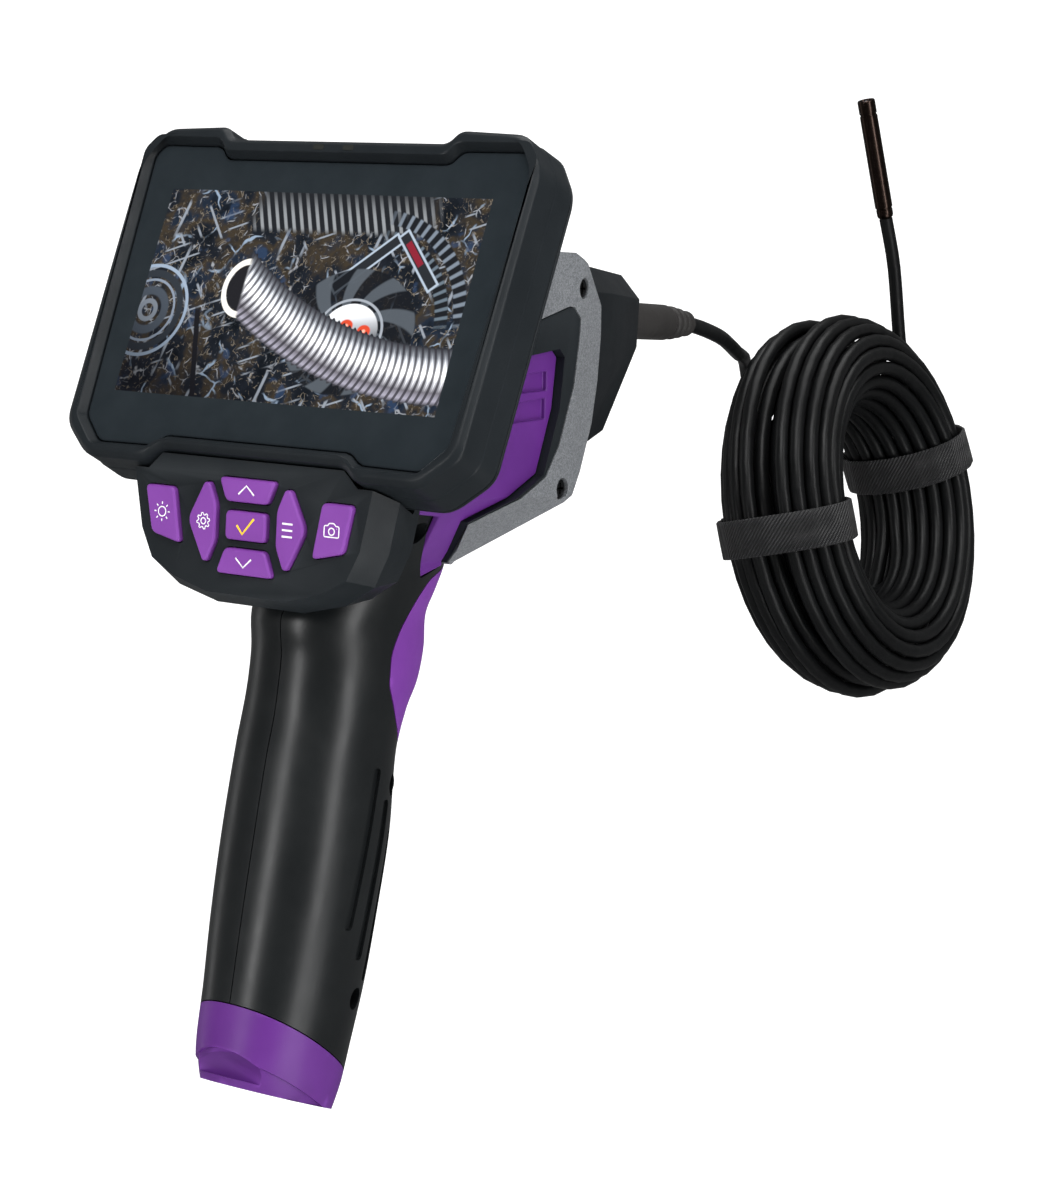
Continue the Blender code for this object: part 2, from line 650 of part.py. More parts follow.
for index in range(10):
    turn = 2 * math.pi * index / 10
    groove = cutter(f"lock_groove_{index}", rod("Y", 0.7 * MM, 2.6 * MM, LOCK_RING_LENGTH + 1 * MM, (
        LOCK_RING_RADIUS * math.cos(turn), LOCK_RING_RADIUS * math.sin(turn)), 6), connector_frame)
    boolean(lock_ring, groove)

sleeve = SLEEVE_END - NOSE_FRONT
r = SLEEVE_RADIUS
piece("strain_relief", turned([
    (0, 5 * MM + GAP), (r, 5 * MM + GAP), (r, sleeve - 14 * MM), (r - 0.9 * MM, sleeve - 13 * MM),
    (r - 0.9 * MM, sleeve - 12 * MM), (r - 0.4 * MM, sleeve - 11.4 * MM), (r - 0.6 * MM, sleeve - 9.6 * MM),
    (r - 1.3 * MM, sleeve - 9 * MM), (r - 1.3 * MM, sleeve - 8 * MM), (r - 0.9 * MM, sleeve - 7.4 * MM),
    (r - 1.2 * MM, sleeve - 5.6 * MM), (r - 1.9 * MM, sleeve - 5 * MM), (r - 1.9 * MM, sleeve - 4 * MM),
    (r - 1.6 * MM, sleeve - 3.4 * MM), (r - 2.2 * MM, sleeve), (0, sleeve)]),
    ((0.035, 0.035, 0.037), 0.5), connector_frame, True)

# ---------------------------------------------------------------- handle
# Cross-sections down the handle: height, middle, rear and front depth, half width as a share, front roundness.
SECTIONS = [(z * MM, middle * MM, rear * MM, front * MM, share, front_shape)
            for z, middle, rear, front, share, front_shape in (
    (-206, 3.5, 13.6, 12.6, 0.72, 2.25),
    (-194, 4.2, 19.0, 17.5, 0.86, 2.25),
    (-184, 4.6, 21.2, 19.8, 0.93, 2.25),
    (-168, 7.6, 21.5, 21.0, 0.99, 2.25),
    (-150, 10.2, 21.4, 21.6, 1.04, 2.25),
    (-131, 13.0, 21.0, 22.0, 1.06, 2.25),
    (-110, 15.8, 20.0, 20.8, 1.03, 2.2),
    (-100, 18.4, 20.2, 24.0, 1.03, 2.0),
    (-94, 20.4, 21.4, 29.0, 1.03, 1.8),
    (-86, 21.6, 21.8, 30.0, 1.04, 1.8),
    (-77, 22.3, 23.4, 29.0, 1.05, 1.8),
    (-71, 24.6, 22.6, 29.0, 1.08, 1.9),
    (-66, 26.0, 23.0, 29.0, 1.12, 2.0),
    (-62, 26.5, 23.4, 27.0, 1.2, 2.1),
    (-54, 26.5, 23.4, 24.0, 1.46, 2.25),
    (-44, 26.5, 23.4, 22.0, 1.85, 2.25),
)]
ROUNDNESS = 2.25


def around(section, inset, turn):
    """A point of the handle's skin: turn 0 is its front, a quarter turn its right side."""
    height, middle, rear, front, share, front_roundness = section
    half = GRIP_HALF_WIDTH * share - inset
    sine = math.sin(turn)
    cosine = math.cos(turn)
    ahead = cosine > 0
    deep = (front if ahead else rear) - inset
    power = 2 / (front_roundness if ahead else ROUNDNESS)
    x = half * math.copysign(abs(sine) ** power, sine)
    y = middle + deep * math.copysign(abs(cosine) ** power, cosine)
    return (x, y)


def section_at(height):
    """The handle's section at any height, between the two listed ones."""
    for low, high in zip(SECTIONS, SECTIONS[1:]):
        if low[0] <= height <= high[0]:
            part = (height - low[0]) / (high[0] - low[0])
            return tuple(a + (b - a) * part for a, b in zip(low, high))
    return SECTIONS[0] if height < SECTIONS[0][0] else SECTIONS[-1]


HEIGHTS = [section[0] for section in SECTIONS]


def handle_skin(inset, low, high, count=24):
    heights = [low] + [z for z in HEIGHTS if low < z < high] + [high]
    levels = []
    for height in heights:
        section = section_at(height)
        levels.append(([around(section, inset, 2 * math.pi * i / count) for i in range(count)], height))
    return stack("Z", levels)


def handle_half(side, low, high, count=12):
    """One clam-shell half: an outer and an inner arc, with a small gap at the middle plane."""
    data = bmesh.new()
    rings = []
    heights = [low] + [z for z in HEIGHTS if low < z < high] + [high]
    for height in heights:
        section = section_at(height)
        turns = [math.pi * i / count for i in range(count + 1)]
        outer = [around(section, 0, turn) for turn in turns]
        inner = [around(section, HANDLE_WALL, turn) for turn in reversed(turns)]
        ring = [data.verts.new((side * max(SEAM / 2, x), y, height)) for x, y in outer + inner]
        rings.append(ring)
    size = len(rings[0])
    for low_ring, high_ring in zip(rings, rings[1:]):
        for index in range(size):
            after = (index + 1) % size
            data.faces.new((low_ring[index], low_ring[after], high_ring[after], high_ring[index]))
    for ring in (rings[0], rings[-1]):
        for index in range(count):
            data.faces.new((ring[index], ring[index + 1], ring[size - 2 - index], ring[size - 1 - index]))
    return data


CAP_SPLIT_PLACE = Vector((0, -14 * MM, -169.4 * MM))
CAP_SPLIT_NORMAL = Vector((0, -0.68, -1)).normalized()
FOOT_PLACE = Vector((0, 2 * MM, -195.4 * MM))
FOOT_NORMAL = Vector((0, -0.36, -1)).normalized()

head_space = cutter("head_space", narrowed(prism(
    "X", offset(head_outline, GAP), -HEAD_HALF_WIDTH - 8 * MM, HEAD_HALF_WIDTH + 8 * MM)), head_frame)
panel_space = {}
for side, label in ((-1, "left"), (1, "right")):
    low = (HEAD_HALF_WIDTH - PANEL_RECESS - PANEL_THICKNESS - GAP)
    data = prism("X", offset(panel_outline, GAP), min(side * low, side * 2 * low), max(side * low, side * 2 * low))
    panel_space[label] = cutter(f"panel_space_{label}", narrowed(data), head_frame)

grip_outline = [(y * MM, z * MM) for y, z in (
    (75, -57.2), (45.5, -64.6), (34.4, -67.4), (30, -71), (22.6, -79.3), (19.6, -85), (19.6, -93), (24, -102),
    (28.5, -108), (45, -113), (75, -113))]
soft_grip = piece("front_grip", handle_skin(0, -118 * MM, -50 * MM), (PURPLE, 0.5), head_frame)
boolean(soft_grip, cutter("grip_region", prism("X", grip_outline, -60 * MM, 60 * MM), head_frame), "INTERSECT")
grip_core = cutter("grip_core", handle_skin(SOFT_GRIP_THICKNESS, -125 * MM, -45 * MM), head_frame)
boolean(soft_grip, grip_core)
grip_space = cutter("grip_space", prism("X", offset(grip_outline, GAP), -60 * MM, 60 * MM), head_frame)
boolean(grip_space, cutter("grip_space_core", handle_skin(
    SOFT_GRIP_THICKNESS + GAP, -130 * MM, -45 * MM), head_frame))

# Each handle screw: forward, up, and how far right of the seam its head sits.
HANDLE_SCREWS = [
    (18.8 * MM, -54.8 * MM, 14 * MM),
    (26.0 * MM, -118.6 * MM, 6 * MM),
    (14.0 * MM, -170.6 * MM, 6 * MM),
]
trigger_low = TRIGGER_HEIGHT - TRIGGER_HALF_HEIGHT
trigger_high = TRIGGER_HEIGHT + TRIGGER_HALF_HEIGHT
surround_outline = round_corners([
    (-TRIGGER_HALF_WIDTH, trigger_low),
    (TRIGGER_HALF_WIDTH, trigger_low),
    (TRIGGER_HALF_WIDTH, trigger_high),
    (-TRIGGER_HALF_WIDTH, trigger_high),
], TRIGGER_HALF_WIDTH * 0.8, 3)
trigger_slot = cutter("trigger_slot", prism("Y", offset(surround_outline, GAP), 31 * MM, 70 * MM), head_frame)
boolean(soft_grip, trigger_slot)

handles = {}
for side, label in ((-1, "left"), (1, "right")):
    data = keep_side(handle_half(side, -200 * MM, -46.5 * MM), CAP_SPLIT_PLACE, CAP_SPLIT_NORMAL)
    half = piece(f"handle_{label}", data, (DARK, 0.36), head_frame)
    handles[label] = half
    boolean(half, trigger_slot)
    boolean(half, grip_space)
    boolean(half, head_space)
    boolean(half, panel_space[label])
    boolean(half, housing_space)
    for number, (y, z, seat) in enumerate(HANDLE_SCREWS):
        boolean(half, cutter(f"boss_{label}_{number}", rod(
            "X", BOSS_RADIUS, side * SEAM / 2, side * (seat + BOSS_PAST_SEAT), (y, z), 16),
            head_frame), "UNION")
for number, (y, z, seat) in enumerate(HANDLE_SCREWS):
    boolean(handles["right"], cutter(f"screw_recess_{number}", rod(
        "X", SCREW_HEAD_RADIUS + GAP, seat, 40 * MM, (y, z), 18), head_frame))
    for label in ("left", "right"):
        boolean(handles[label], cutter(f"screw_bore_{label}_{number}", rod(
            "X", SCREW_SHANK_RADIUS + GAP, SHANK_START - 0.6 * MM, seat + 1 * MM, (y, z), 14), head_frame))
    screw = piece(f"handle_screw_{number + 1}", turned([
        (0, SHANK_START), (SCREW_SHANK_RADIUS, SHANK_START), (SCREW_SHANK_RADIUS, seat + GAP),
        (SCREW_HEAD_RADIUS, seat + GAP), (SCREW_HEAD_RADIUS, seat + 2.8 * MM), (0, seat + 2.8 * MM)],
        12, (1, 0, 0)), ((0.03, 0.03, 0.035), 0.3, 0.9), head_frame)
    screw.location = (0, y, z)

# Trigger: a fixed black surround in the soft grip and a yellow push button in it.
surround = piece("trigger_surround", stack("Y", [
    (surround_outline, TRIGGER_ROOT), (surround_outline, TRIGGER_FACE - 1.8 * MM),
    (offset(surround_outline, -0.8 * MM), TRIGGER_FACE - 1.0 * MM)]), (BLACK, 0.4), head_frame)
button_radius = TRIGGER_BUTTON_RADIUS
button_hole = cutter("trigger_hole", rod(
    "Y", button_radius + GAP, TRIGGER_ROOT - 1 * MM, 70 * MM, (0, TRIGGER_HEIGHT)), head_frame)
boolean(surround, button_hole)
button = piece("trigger_button", turned([
    (0, -8 * MM), (button_radius, -8 * MM), (button_radius, -0.6 * MM), (button_radius - 0.6 * MM, 0), (0, 0)], 20),
    ((0.75, 0.62, 0.03), 0.4), head_frame, True)
button.location = (0, TRIGGER_FACE, TRIGGER_HEIGHT)
piece("trigger_switch", block((7 * MM, 3.4 * MM, 7 * MM), (
    0, TRIGGER_FACE - 8 * MM - TRIGGER_TRAVEL - GAP - 1.7 * MM - 1.7 * MM, TRIGGER_HEIGHT)),
    ((0.02, 0.02, 0.02), 0.5), head_frame)

# Battery, its contacts, and the cap that closes the handle.
battery_middle = section_at(BATTERY_HEIGHT)
battery_frame = bpy.data.objects.new("battery_frame", None)
bpy.context.scene.collection.objects.link(battery_frame)
battery_frame.parent = head_frame
battery_frame.location = (0, battery_middle[1] - BATTERY_BACK, BATTERY_HEIGHT)
battery_frame.rotation_euler = (-HANDLE_LEAN, 0, 0)
half_battery = BATTERY_LENGTH / 2
piece("battery_cell", turned([
    (0, -half_battery), (BATTERY_RADIUS, -half_battery), (BATTERY_RADIUS, half_battery - 1.5 * MM),
    (3 * MM, half_battery - 1.5 * MM), (3 * MM, half_battery), (0, half_battery)], 24, (0, 0, 1)),
    ((0.02, 0.12, 0.3), 0.4), battery_frame, True)
piece("battery_contact_top", block((11 * MM, 11 * MM, 0.8 * MM), (0, 0, half_battery + GAP + 0.4 * MM)),
      ((0.6, 0.6, 0.58), 0.25, 1.0), battery_frame)
piece("battery_contact_bottom", block((11 * MM, 11 * MM, 0.8 * MM), (0, 0, -half_battery - GAP - 0.4 * MM)),
      ((0.6, 0.6, 0.58), 0.25, 1.0), battery_frame)

cap_data = handle_skin(0, -206 * MM, -165 * MM)
keep_side(cap_data, CAP_SPLIT_PLACE + CAP_SPLIT_NORMAL * GAP, -CAP_SPLIT_NORMAL)
keep_side(cap_data, FOOT_PLACE, FOOT_NORMAL)
battery_cap = piece("battery_cap", cap_data, (PURPLE, 0.45), head_frame)
edge_bevel(battery_cap, 1.0 * MM, 1, 50)
pocket = handle_skin(HANDLE_WALL, -184 * MM, -150 * MM, 20)
boolean(battery_cap, cutter("cap_pocket", pocket, head_frame))

# ---------------------------------------------------------------- cable, coil, ties and camera head
# The cable lies behind the coil's near side, turns down inside the ring and joins the first turn there.
coil_frame = bpy.data.objects.new("coil_frame", None)
bpy.context.scene.collection.objects.link(coil_frame)
coil_frame.parent = head_frame
coil_frame.location = (8 * MM, 303.3 * MM, -59 * MM)
coil_normal = Vector((math.cos(COIL_TURN) * math.cos(COIL_LEAN), -math.sin(COIL_TURN) * math.cos(COIL_LEAN),
                      math.sin(COIL_LEAN)))
coil_along = Vector((math.sin(COIL_TURN), math.cos(COIL_TURN), 0))
coil_up = coil_normal.cross(coil_along)
coil_frame.rotation_euler = Matrix((coil_along, coil_up, coil_normal)).transposed().to_euler()


def on_coil(turn_degrees, radius=COIL_RADIUS, lift=0.0):
    """A place beside the coil's middle line, in the head frame."""
    turn = math.radians(turn_degrees)
    middle = Vector(coil_frame.location)
    return middle + coil_along * math.cos(turn) * radius + coil_up * math.sin(turn) * radius + coil_normal * lift


ring_profile = []
for index in range(14):
    turn = 2 * math.pi * index / 14
    ring_profile.append((COIL_RADIUS + BUNDLE_DEPTH * math.cos(turn), BUNDLE_HALF_WIDTH * math.sin(turn)))
piece("cable_coil", turned(ring_profile, 40, (0, 0, 1)), (BLACK, 0.45), coil_frame, True)


def smooth_route(points, spacing):
    """Even points along a Catmull-Rom curve through the route points."""
    padded = [points[0] * 2 - points[1]] + points + [points[-1] * 2 - points[-2]]
    dense = []
    for a, b, c, d in zip(padded, padded[1:], padded[2:], padded[3:]):
        for step in range(24):
            t = step / 24
            dense.append(0.5 * ((2 * b) + (c - a) * t + (2 * a - 5 * b + 4 * c - d) * t * t
                                + (3 * b - a - 3 * c + d) * t * t * t))
    dense.append(points[-1])
    route = [dense[0]]
    travelled = 0.0
    for before, after in zip(dense, dense[1:]):
        travelled += (after - before).length
        if travelled >= spacing:
            route.append(after)
            travelled = 0.0
    if (route[-1] - dense[-1]).length < spacing * 0.5:
        route[-1] = dense[-1]
    else:
        route.append(dense[-1])
    return route


def tube(name, points, look):
    curve = bpy.data.curves.new(name, "CURVE")
    curve.dimensions = "3D"
    spline = curve.splines.new("POLY")
    route = smooth_route(points, CABLE_DIAMETER * 2.2)
    spline.points.add(len(route) - 1)
    for spot, place in zip(spline.points, route):
        spot.co = (*place, 1.0)
    curve.bevel_depth = CABLE_DIAMETER / 2
    curve.bevel_resolution = 2
    curve.use_fill_caps = True
    made = bpy.data.objects.new(name, curve)
    bpy.context.scene.collection.objects.link(made)
    made.parent = head_frame
    made.data.materials.append(material(name, *look))
    return made


cable_start = Vector((0, SLEEVE_END + GAP, CABLE_HEIGHT))
lead_route = [cable_start]
for x, y, z in (
        (-0.5, 203.0, -2.0),
        (-2.9, 220.7, -4.5),
        (-8.4, 239.0, -7.4),
        (-15.6, 257.5, -9.6),
        (-22.4, 273.6, -10.6),
        (-28.4, 287.6, -12.2),
        (-33.0, 299.5, -18.3),
        (-34.0, 306.5, -29.0),
        (-31.0, 307.5, -41.0),
        (-25.5, 303.0, -53.0)):
    lead_route.append(Vector((x * MM, y * MM, z * MM)))
# Inside the ring: turn, distance in from the bundle's surface, and place along the coil's axis.
for turn_degrees, inward, along_axis in (
        (195, 22.5, -25.5),
        (222, 16.5, -20.5),
        (243, 10.0, -15.0),
        (259, 4.7, -9.5),
        (272, 2.4, -4.5)):
    lead_route.append(on_coil(turn_degrees, COIL_RADIUS - BUNDLE_DEPTH - inward * MM, along_axis * MM))
tube("cable_lead", lead_route, (BLACK, 0.45))

camera_base = Vector((0 * MM, 331 * MM, 39 * MM))
camera_direction = Vector((-4.5, -13, 38.6)).normalized()
leave = on_coil(50, COIL_RADIUS + BUNDLE_DEPTH + GAP + 0.13 * CABLE_DIAMETER, 5 * MM)
tube("cable_tail", [
    leave,
    camera_base - camera_direction * 18 * MM,
    camera_base - camera_direction * GAP,
], (BLACK, 0.45))

camera_frame = bpy.data.objects.new("camera_frame", None)
bpy.context.scene.collection.objects.link(camera_frame)
camera_frame.parent = head_frame
camera_frame.location = camera_base
camera_frame.rotation_euler = camera_direction.to_track_quat("Z", "X").to_euler()
c = CAMERA_RADIUS
lens_radius = c - 0.9 * MM
piece("camera_head", turned([
    (0, 0), (c - 0.7 * MM, 0), (c - 0.2 * MM, 0.8 * MM), (c - 0.2 * MM, 3 * MM), (c, 3.4 * MM),
    (c, CAMERA_LENGTH - 5.4 * MM), (c - 0.25 * MM, CAMERA_LENGTH - 5.1 * MM),
    (c - 0.25 * MM, CAMERA_LENGTH - 4.6 * MM),
    (c, CAMERA_LENGTH - 4.3 * MM), (c, CAMERA_LENGTH - 0.3 * MM), (c - 0.3 * MM, CAMERA_LENGTH),
    (lens_radius + GAP, CAMERA_LENGTH), (lens_radius + GAP, CAMERA_LENGTH - 1.4 * MM), (0, CAMERA_LENGTH - 1.4 * MM)],
    20, (0, 0, 1)),
    ((0.03, 0.022, 0.02), 0.22, 0.8), camera_frame, True)
piece("camera_lens", turned([
    (0, CAMERA_LENGTH - 1.1 * MM), (lens_radius, CAMERA_LENGTH - 1.1 * MM),
    (lens_radius, CAMERA_LENGTH - 0.4 * MM), (0, CAMERA_LENGTH - 0.4 * MM)], 16, (0, 0, 1)),
    ((0.01, 0.01, 0.02), 0.05), camera_frame, True)

# Two hook-and-loop ties round the bundle.
def tie_outline(grow):
    """The oval that a tie follows round the bundle."""
    outline = []
    for index in range(28):
        turn = 2 * math.pi * index / 28
        outline.append(((BUNDLE_DEPTH + grow) * math.cos(turn), (BUNDLE_HALF_WIDTH + grow) * math.sin(turn)))
    return outline


for label, turn_degrees in (("left", 187), ("right", 18)):
    turn = math.radians(turn_degrees)
    tie = piece(f"cable_tie_{label}", prism(
        "Y", tie_outline(TIE_CLEARANCE + TIE_THICKNESS), -TIE_WIDTH / 2, TIE_WIDTH / 2),
        ((0.02, 0.02, 0.02), 0.8), coil_frame)
    tie_hole = cutter(f"tie_hole_{label}", prism("Y", tie_outline(TIE_CLEARANCE), -TIE_WIDTH, TIE_WIDTH), tie)
    boolean(tie, tie_hole)
    tie.location = (COIL_RADIUS * math.cos(turn), COIL_RADIUS * math.sin(turn), 0)
    tie.rotation_euler = (0, 0, turn)
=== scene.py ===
# %% [markdown]
# # A handheld pipe inspection camera
# The tool is a pistol-shaped viewer with a tilted screen, a push cable wound in a coil, and a small
# camera head at the cable's end. The CAD model gives every size and place. This script gives each piece
# its finer shape and its finish. Everything is in metres, with +Z up and +Y out of the nose.

# %% Load the frame
import math

import bmesh
import bpy
from mathutils import Matrix, Vector


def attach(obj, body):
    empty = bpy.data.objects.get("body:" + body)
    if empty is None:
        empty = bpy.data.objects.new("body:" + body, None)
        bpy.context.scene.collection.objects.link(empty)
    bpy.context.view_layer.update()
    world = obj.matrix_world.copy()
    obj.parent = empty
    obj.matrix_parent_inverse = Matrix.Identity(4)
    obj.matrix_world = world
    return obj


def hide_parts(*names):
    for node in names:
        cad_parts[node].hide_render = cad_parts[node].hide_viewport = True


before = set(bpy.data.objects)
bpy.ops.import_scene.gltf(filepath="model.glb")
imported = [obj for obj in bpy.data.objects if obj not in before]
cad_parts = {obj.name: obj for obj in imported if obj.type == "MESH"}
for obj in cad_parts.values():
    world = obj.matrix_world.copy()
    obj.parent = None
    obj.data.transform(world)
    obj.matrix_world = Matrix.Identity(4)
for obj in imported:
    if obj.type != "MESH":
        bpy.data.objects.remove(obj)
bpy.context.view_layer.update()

MM = 0.001

# %% [markdown]
# ## Two places to work from
# The sloping housing is easiest to draw in its own axes: x to the right, y up the screen, z toward the
# user. The rest of the viewer is drawn from the middle of the display with level axes. Each drawing
# is moved to its real place by one of these matrices, so the finished object stays at the origin.

# %% Work frames
DISPLAY_TILT = math.radians(21)
HEAD = Matrix.Translation((0, -16 * MM, 125 * MM))
SCREEN = HEAD @ Matrix.Rotation(math.pi / 2 - DISPLAY_TILT, 4, "X")
VIEWER = "viewer"

# %% [markdown]
# ## The camera
# The viewer is seen from behind and from the right, a little from above, through a moderately long lens.
# The camera's matrix is built from where it stands and from which way is forward and right.

# %% Camera
EYE = Vector((377.2, -515.4, 125.6)) * MM
FORWARD = Vector((-0.522, 0.846, -0.111)).normalized()
RIGHT = Vector((0.846, 0.529, 0.058))
RIGHT = (RIGHT - FORWARD * RIGHT.dot(FORWARD)).normalized()
UPWARD = RIGHT.cross(FORWARD)
camera_data = bpy.data.cameras.new("studio_camera")
camera_data.lens = 78
camera_data.sensor_width = 36
camera_data.clip_start = 0.01
studio_camera = bpy.data.objects.new("studio_camera", camera_data)
bpy.context.scene.collection.objects.link(studio_camera)
turned_axes = Matrix((RIGHT, UPWARD, -FORWARD)).transposed().to_4x4()
studio_camera.matrix_world = Matrix.Translation(EYE) @ turned_axes
bpy.context.scene.camera = studio_camera
print("camera distance to the grip:", round(EYE.length, 3))

# %% [markdown]
# ## Finishes
# A moulded plastic is never one flat colour. It has a fine grain, faint cloudy changes in gloss, and edges
# rubbed slightly lighter. One helper makes a finish from those parts: a Principled shader whose
# colour and roughness follow noise, and a bump made of two sizes of grain.

# %% Material helpers
def new_finish(name):
    made = bpy.data.materials.new(name)
    made.use_nodes = True
    tree = made.node_tree
    return made, tree, tree.nodes["Principled BSDF"]


def set_socket(node, values):
    for key, value in values.items():
        node.inputs[key].default_value = value


def add_node(tree, kind, values=None, **settings):
    """A new node with its settings; a value that is a socket is linked, any other is stored."""
    made = tree.nodes.new(kind)
    for key, value in settings.items():
        setattr(made, key, value)
    for key, value in (values or {}).items():
        if isinstance(value, bpy.types.NodeSocket):
            tree.links.new(value, made.inputs[key])
        else:
            made.inputs[key].default_value = value
    return made


def own_space(tree):
    return add_node(tree, "ShaderNodeTexCoord").outputs["Object"]


def noise(tree, space, scale, detail=3.0, rough=0.55):
    made = add_node(tree, "ShaderNodeTexNoise", {"Vector": space, "Scale": scale, "Detail": detail, "Roughness": rough})
    return made.outputs["Fac"]


def ramp(tree, fac, stops):
    made = add_node(tree, "ShaderNodeValToRGB", {"Fac": fac})
    marks = made.color_ramp.elements
    while len(marks) < len(stops):
        marks.new(0.5)
    for mark, (place, colour) in zip(marks, stops):
        mark.position = place
        mark.color = (*colour, 1.0)
    return made.outputs["Color"]


def span(tree, fac, low, high, to_low, to_high):
    made = add_node(tree, "ShaderNodeMapRange", {
        "Value": fac, "From Min": low, "From Max": high, "To Min": to_low, "To Max": to_high})
    return made.outputs["Result"]


def bumps(tree, shader, layers):
    """Chains bump layers, each (height, depth in metres), into the shader's normal."""
    normal = None
    for height, depth in layers:
        made = add_node(tree, "ShaderNodeBump", {"Height": height, "Strength": 1.0, "Distance": depth})
        if normal is not None:
            tree.links.new(normal, made.inputs["Normal"])
        normal = made.outputs["Normal"]
    tree.links.new(normal, shader.inputs["Normal"])


def edge_wear(tree, low=0.54, high=0.72):
    """One on rubbed outer edges and zero elsewhere, from how pointed the surface is."""
    pointed = add_node(tree, "ShaderNodeNewGeometry").outputs["Pointiness"]
    return span(tree, pointed, low, high, 0.0, 1.0)


def plastic(name, dark, light, rough=0.4, spread=0.06, grain=2600.0, depth=0.00002, wear=(1.25, 0.5), shine=0.16):
    """Moulded plastic: dark and light are the two ends of its cloudy colour."""
    made, tree, shader = new_finish(name)
    space = own_space(tree)
    cloud = noise(tree, space, 38.0, 4.0)
    body_colour = ramp(tree, cloud, [(0.35, dark), (0.65, light)])
    worn = add_node(tree, "ShaderNodeMix", {"Factor": edge_wear(tree)}, data_type="RGBA")
    rubbed = tuple(min(1.0, part * wear[0] + 0.012 * wear[1]) for part in light)
    tree.links.new(body_colour, worn.inputs["A"])
    worn.inputs["B"].default_value = (*rubbed, 1.0)
    tree.links.new(worn.outputs["Result"], shader.inputs["Base Color"])
    fine = noise(tree, space, grain, 2.0, 0.6)
    gloss = noise(tree, space, 120.0, 5.0, 0.6)
    tree.links.new(span(tree, gloss, 0.3, 0.7, rough - spread, rough + spread), shader.inputs["Roughness"])
    set_socket(shader, {"Specular IOR Level": shine})
    bumps(tree, shader, [(noise(tree, space, 90.0, 2.0), depth * 1.5), (fine, depth)])
    return made


HOUSING_BLACK = plastic("housing_black_grain", (0.0085, 0.0108, 0.0128), (0.0115, 0.0142, 0.0165), 0.40)
HANDLE_BLACK = plastic("handle_black_satin", (0.0048, 0.0058, 0.0064), (0.0068, 0.0080, 0.0086), 0.33, 0.04,
                       3400.0, 0.000008, shine=0.34)
PURPLE = plastic("purple_moulded", (0.082, 0.015, 0.158), (0.100, 0.020, 0.188), 0.42, 0.05, 2400.0, 0.000014,
                 shine=0.25)
PURPLE_KEY = plastic("purple_key", (0.170, 0.040, 0.275), (0.195, 0.050, 0.310), 0.46, 0.05, 2800.0, 0.000010,
                     shine=0.25)
PURPLE_SOFT = plastic("purple_soft", (0.128, 0.022, 0.235), (0.155, 0.030, 0.275), 0.50, 0.05, 1900.0, 0.00003,
                      shine=0.34)
NOSE_BLACK = plastic("nose_black_satin", (0.0055, 0.0068, 0.0082), (0.0080, 0.0096, 0.0112), 0.36, 0.05,
                     2600.0, 0.000014)
print("plastics:", len(bpy.data.materials))

# %% [markdown]
# The cable's jacket is smooth extruded rubber with long soft highlights. A gentle waviness along it and
# a very fine grain keep the highlight from being a perfect line. The screws, the plug and the camera head are
# metal, with turning marks and small changes in gloss. The cowl is paint with metal flakes in it.

# %% Rubber, metal and paint
def rubber(name, colour, rough):
    made, tree, shader = new_finish(name)
    space = own_space(tree)
    tint = tuple(part * 1.5 for part in colour)
    tree.links.new(ramp(tree, noise(tree, space, 60.0, 4.0), [(0.3, colour), (0.7, tint)]),
                   shader.inputs["Base Color"])
    tree.links.new(span(tree, noise(tree, space, 180.0, 4.0), 0.3, 0.7, rough - 0.05, rough + 0.08),
                   shader.inputs["Roughness"])
    set_socket(shader, {"Specular IOR Level": 0.15})
    bumps(tree, shader, [(noise(tree, space, 140.0, 2.0), 0.00016), (noise(tree, space, 3000.0, 1.0), 0.000006)])
    return made


def metal(name, dark, light, rough, scratch=0.00001):
    made, tree, shader = new_finish(name)
    space = own_space(tree)
    stretched = add_node(tree, "ShaderNodeMapping", {"Vector": space, "Scale": (1.0, 1.0, 14.0)}).outputs["Vector"]
    marks = noise(tree, stretched, 420.0, 5.0, 0.65)
    tree.links.new(ramp(tree, marks, [(0.3, dark), (0.7, light)]), shader.inputs["Base Color"])
    tree.links.new(span(tree, marks, 0.25, 0.75, rough - 0.06, rough + 0.1), shader.inputs["Roughness"])
    set_socket(shader, {"Metallic": 1.0})
    bumps(tree, shader, [(marks, scratch)])
    return made


def flake_paint(name):
    """Silver paint: small flakes lie at slightly different angles and so differ in brightness."""
    made, tree, shader = new_finish(name)
    space = own_space(tree)
    flakes = add_node(tree, "ShaderNodeTexVoronoi", {"Vector": space, "Scale": 3200.0})
    tone = ramp(tree, flakes.outputs["Color"], [(0.15, (0.17, 0.18, 0.195)), (0.85, (0.33, 0.345, 0.365))])
    cloud = ramp(tree, noise(tree, space, 30.0, 3.0), [(0.3, (0.92, 0.92, 0.92)), (0.7, (1.0, 1.0, 1.0))])
    mixed = add_node(tree, "ShaderNodeMix", {"Factor": 1.0}, data_type="RGBA", blend_type="MULTIPLY")
    tree.links.new(tone, mixed.inputs["A"])
    tree.links.new(cloud, mixed.inputs["B"])
    tree.links.new(mixed.outputs["Result"], shader.inputs["Base Color"])
    tree.links.new(span(tree, flakes.outputs["Distance"], 0.0, 0.6, 0.30, 0.46), shader.inputs["Roughness"])
    set_socket(shader, {"Metallic": 0.55, "Coat Weight": 0.15, "Coat Roughness": 0.25})
    bumps(tree, shader, [(flakes.outputs["Distance"], 0.000012)])
    return made


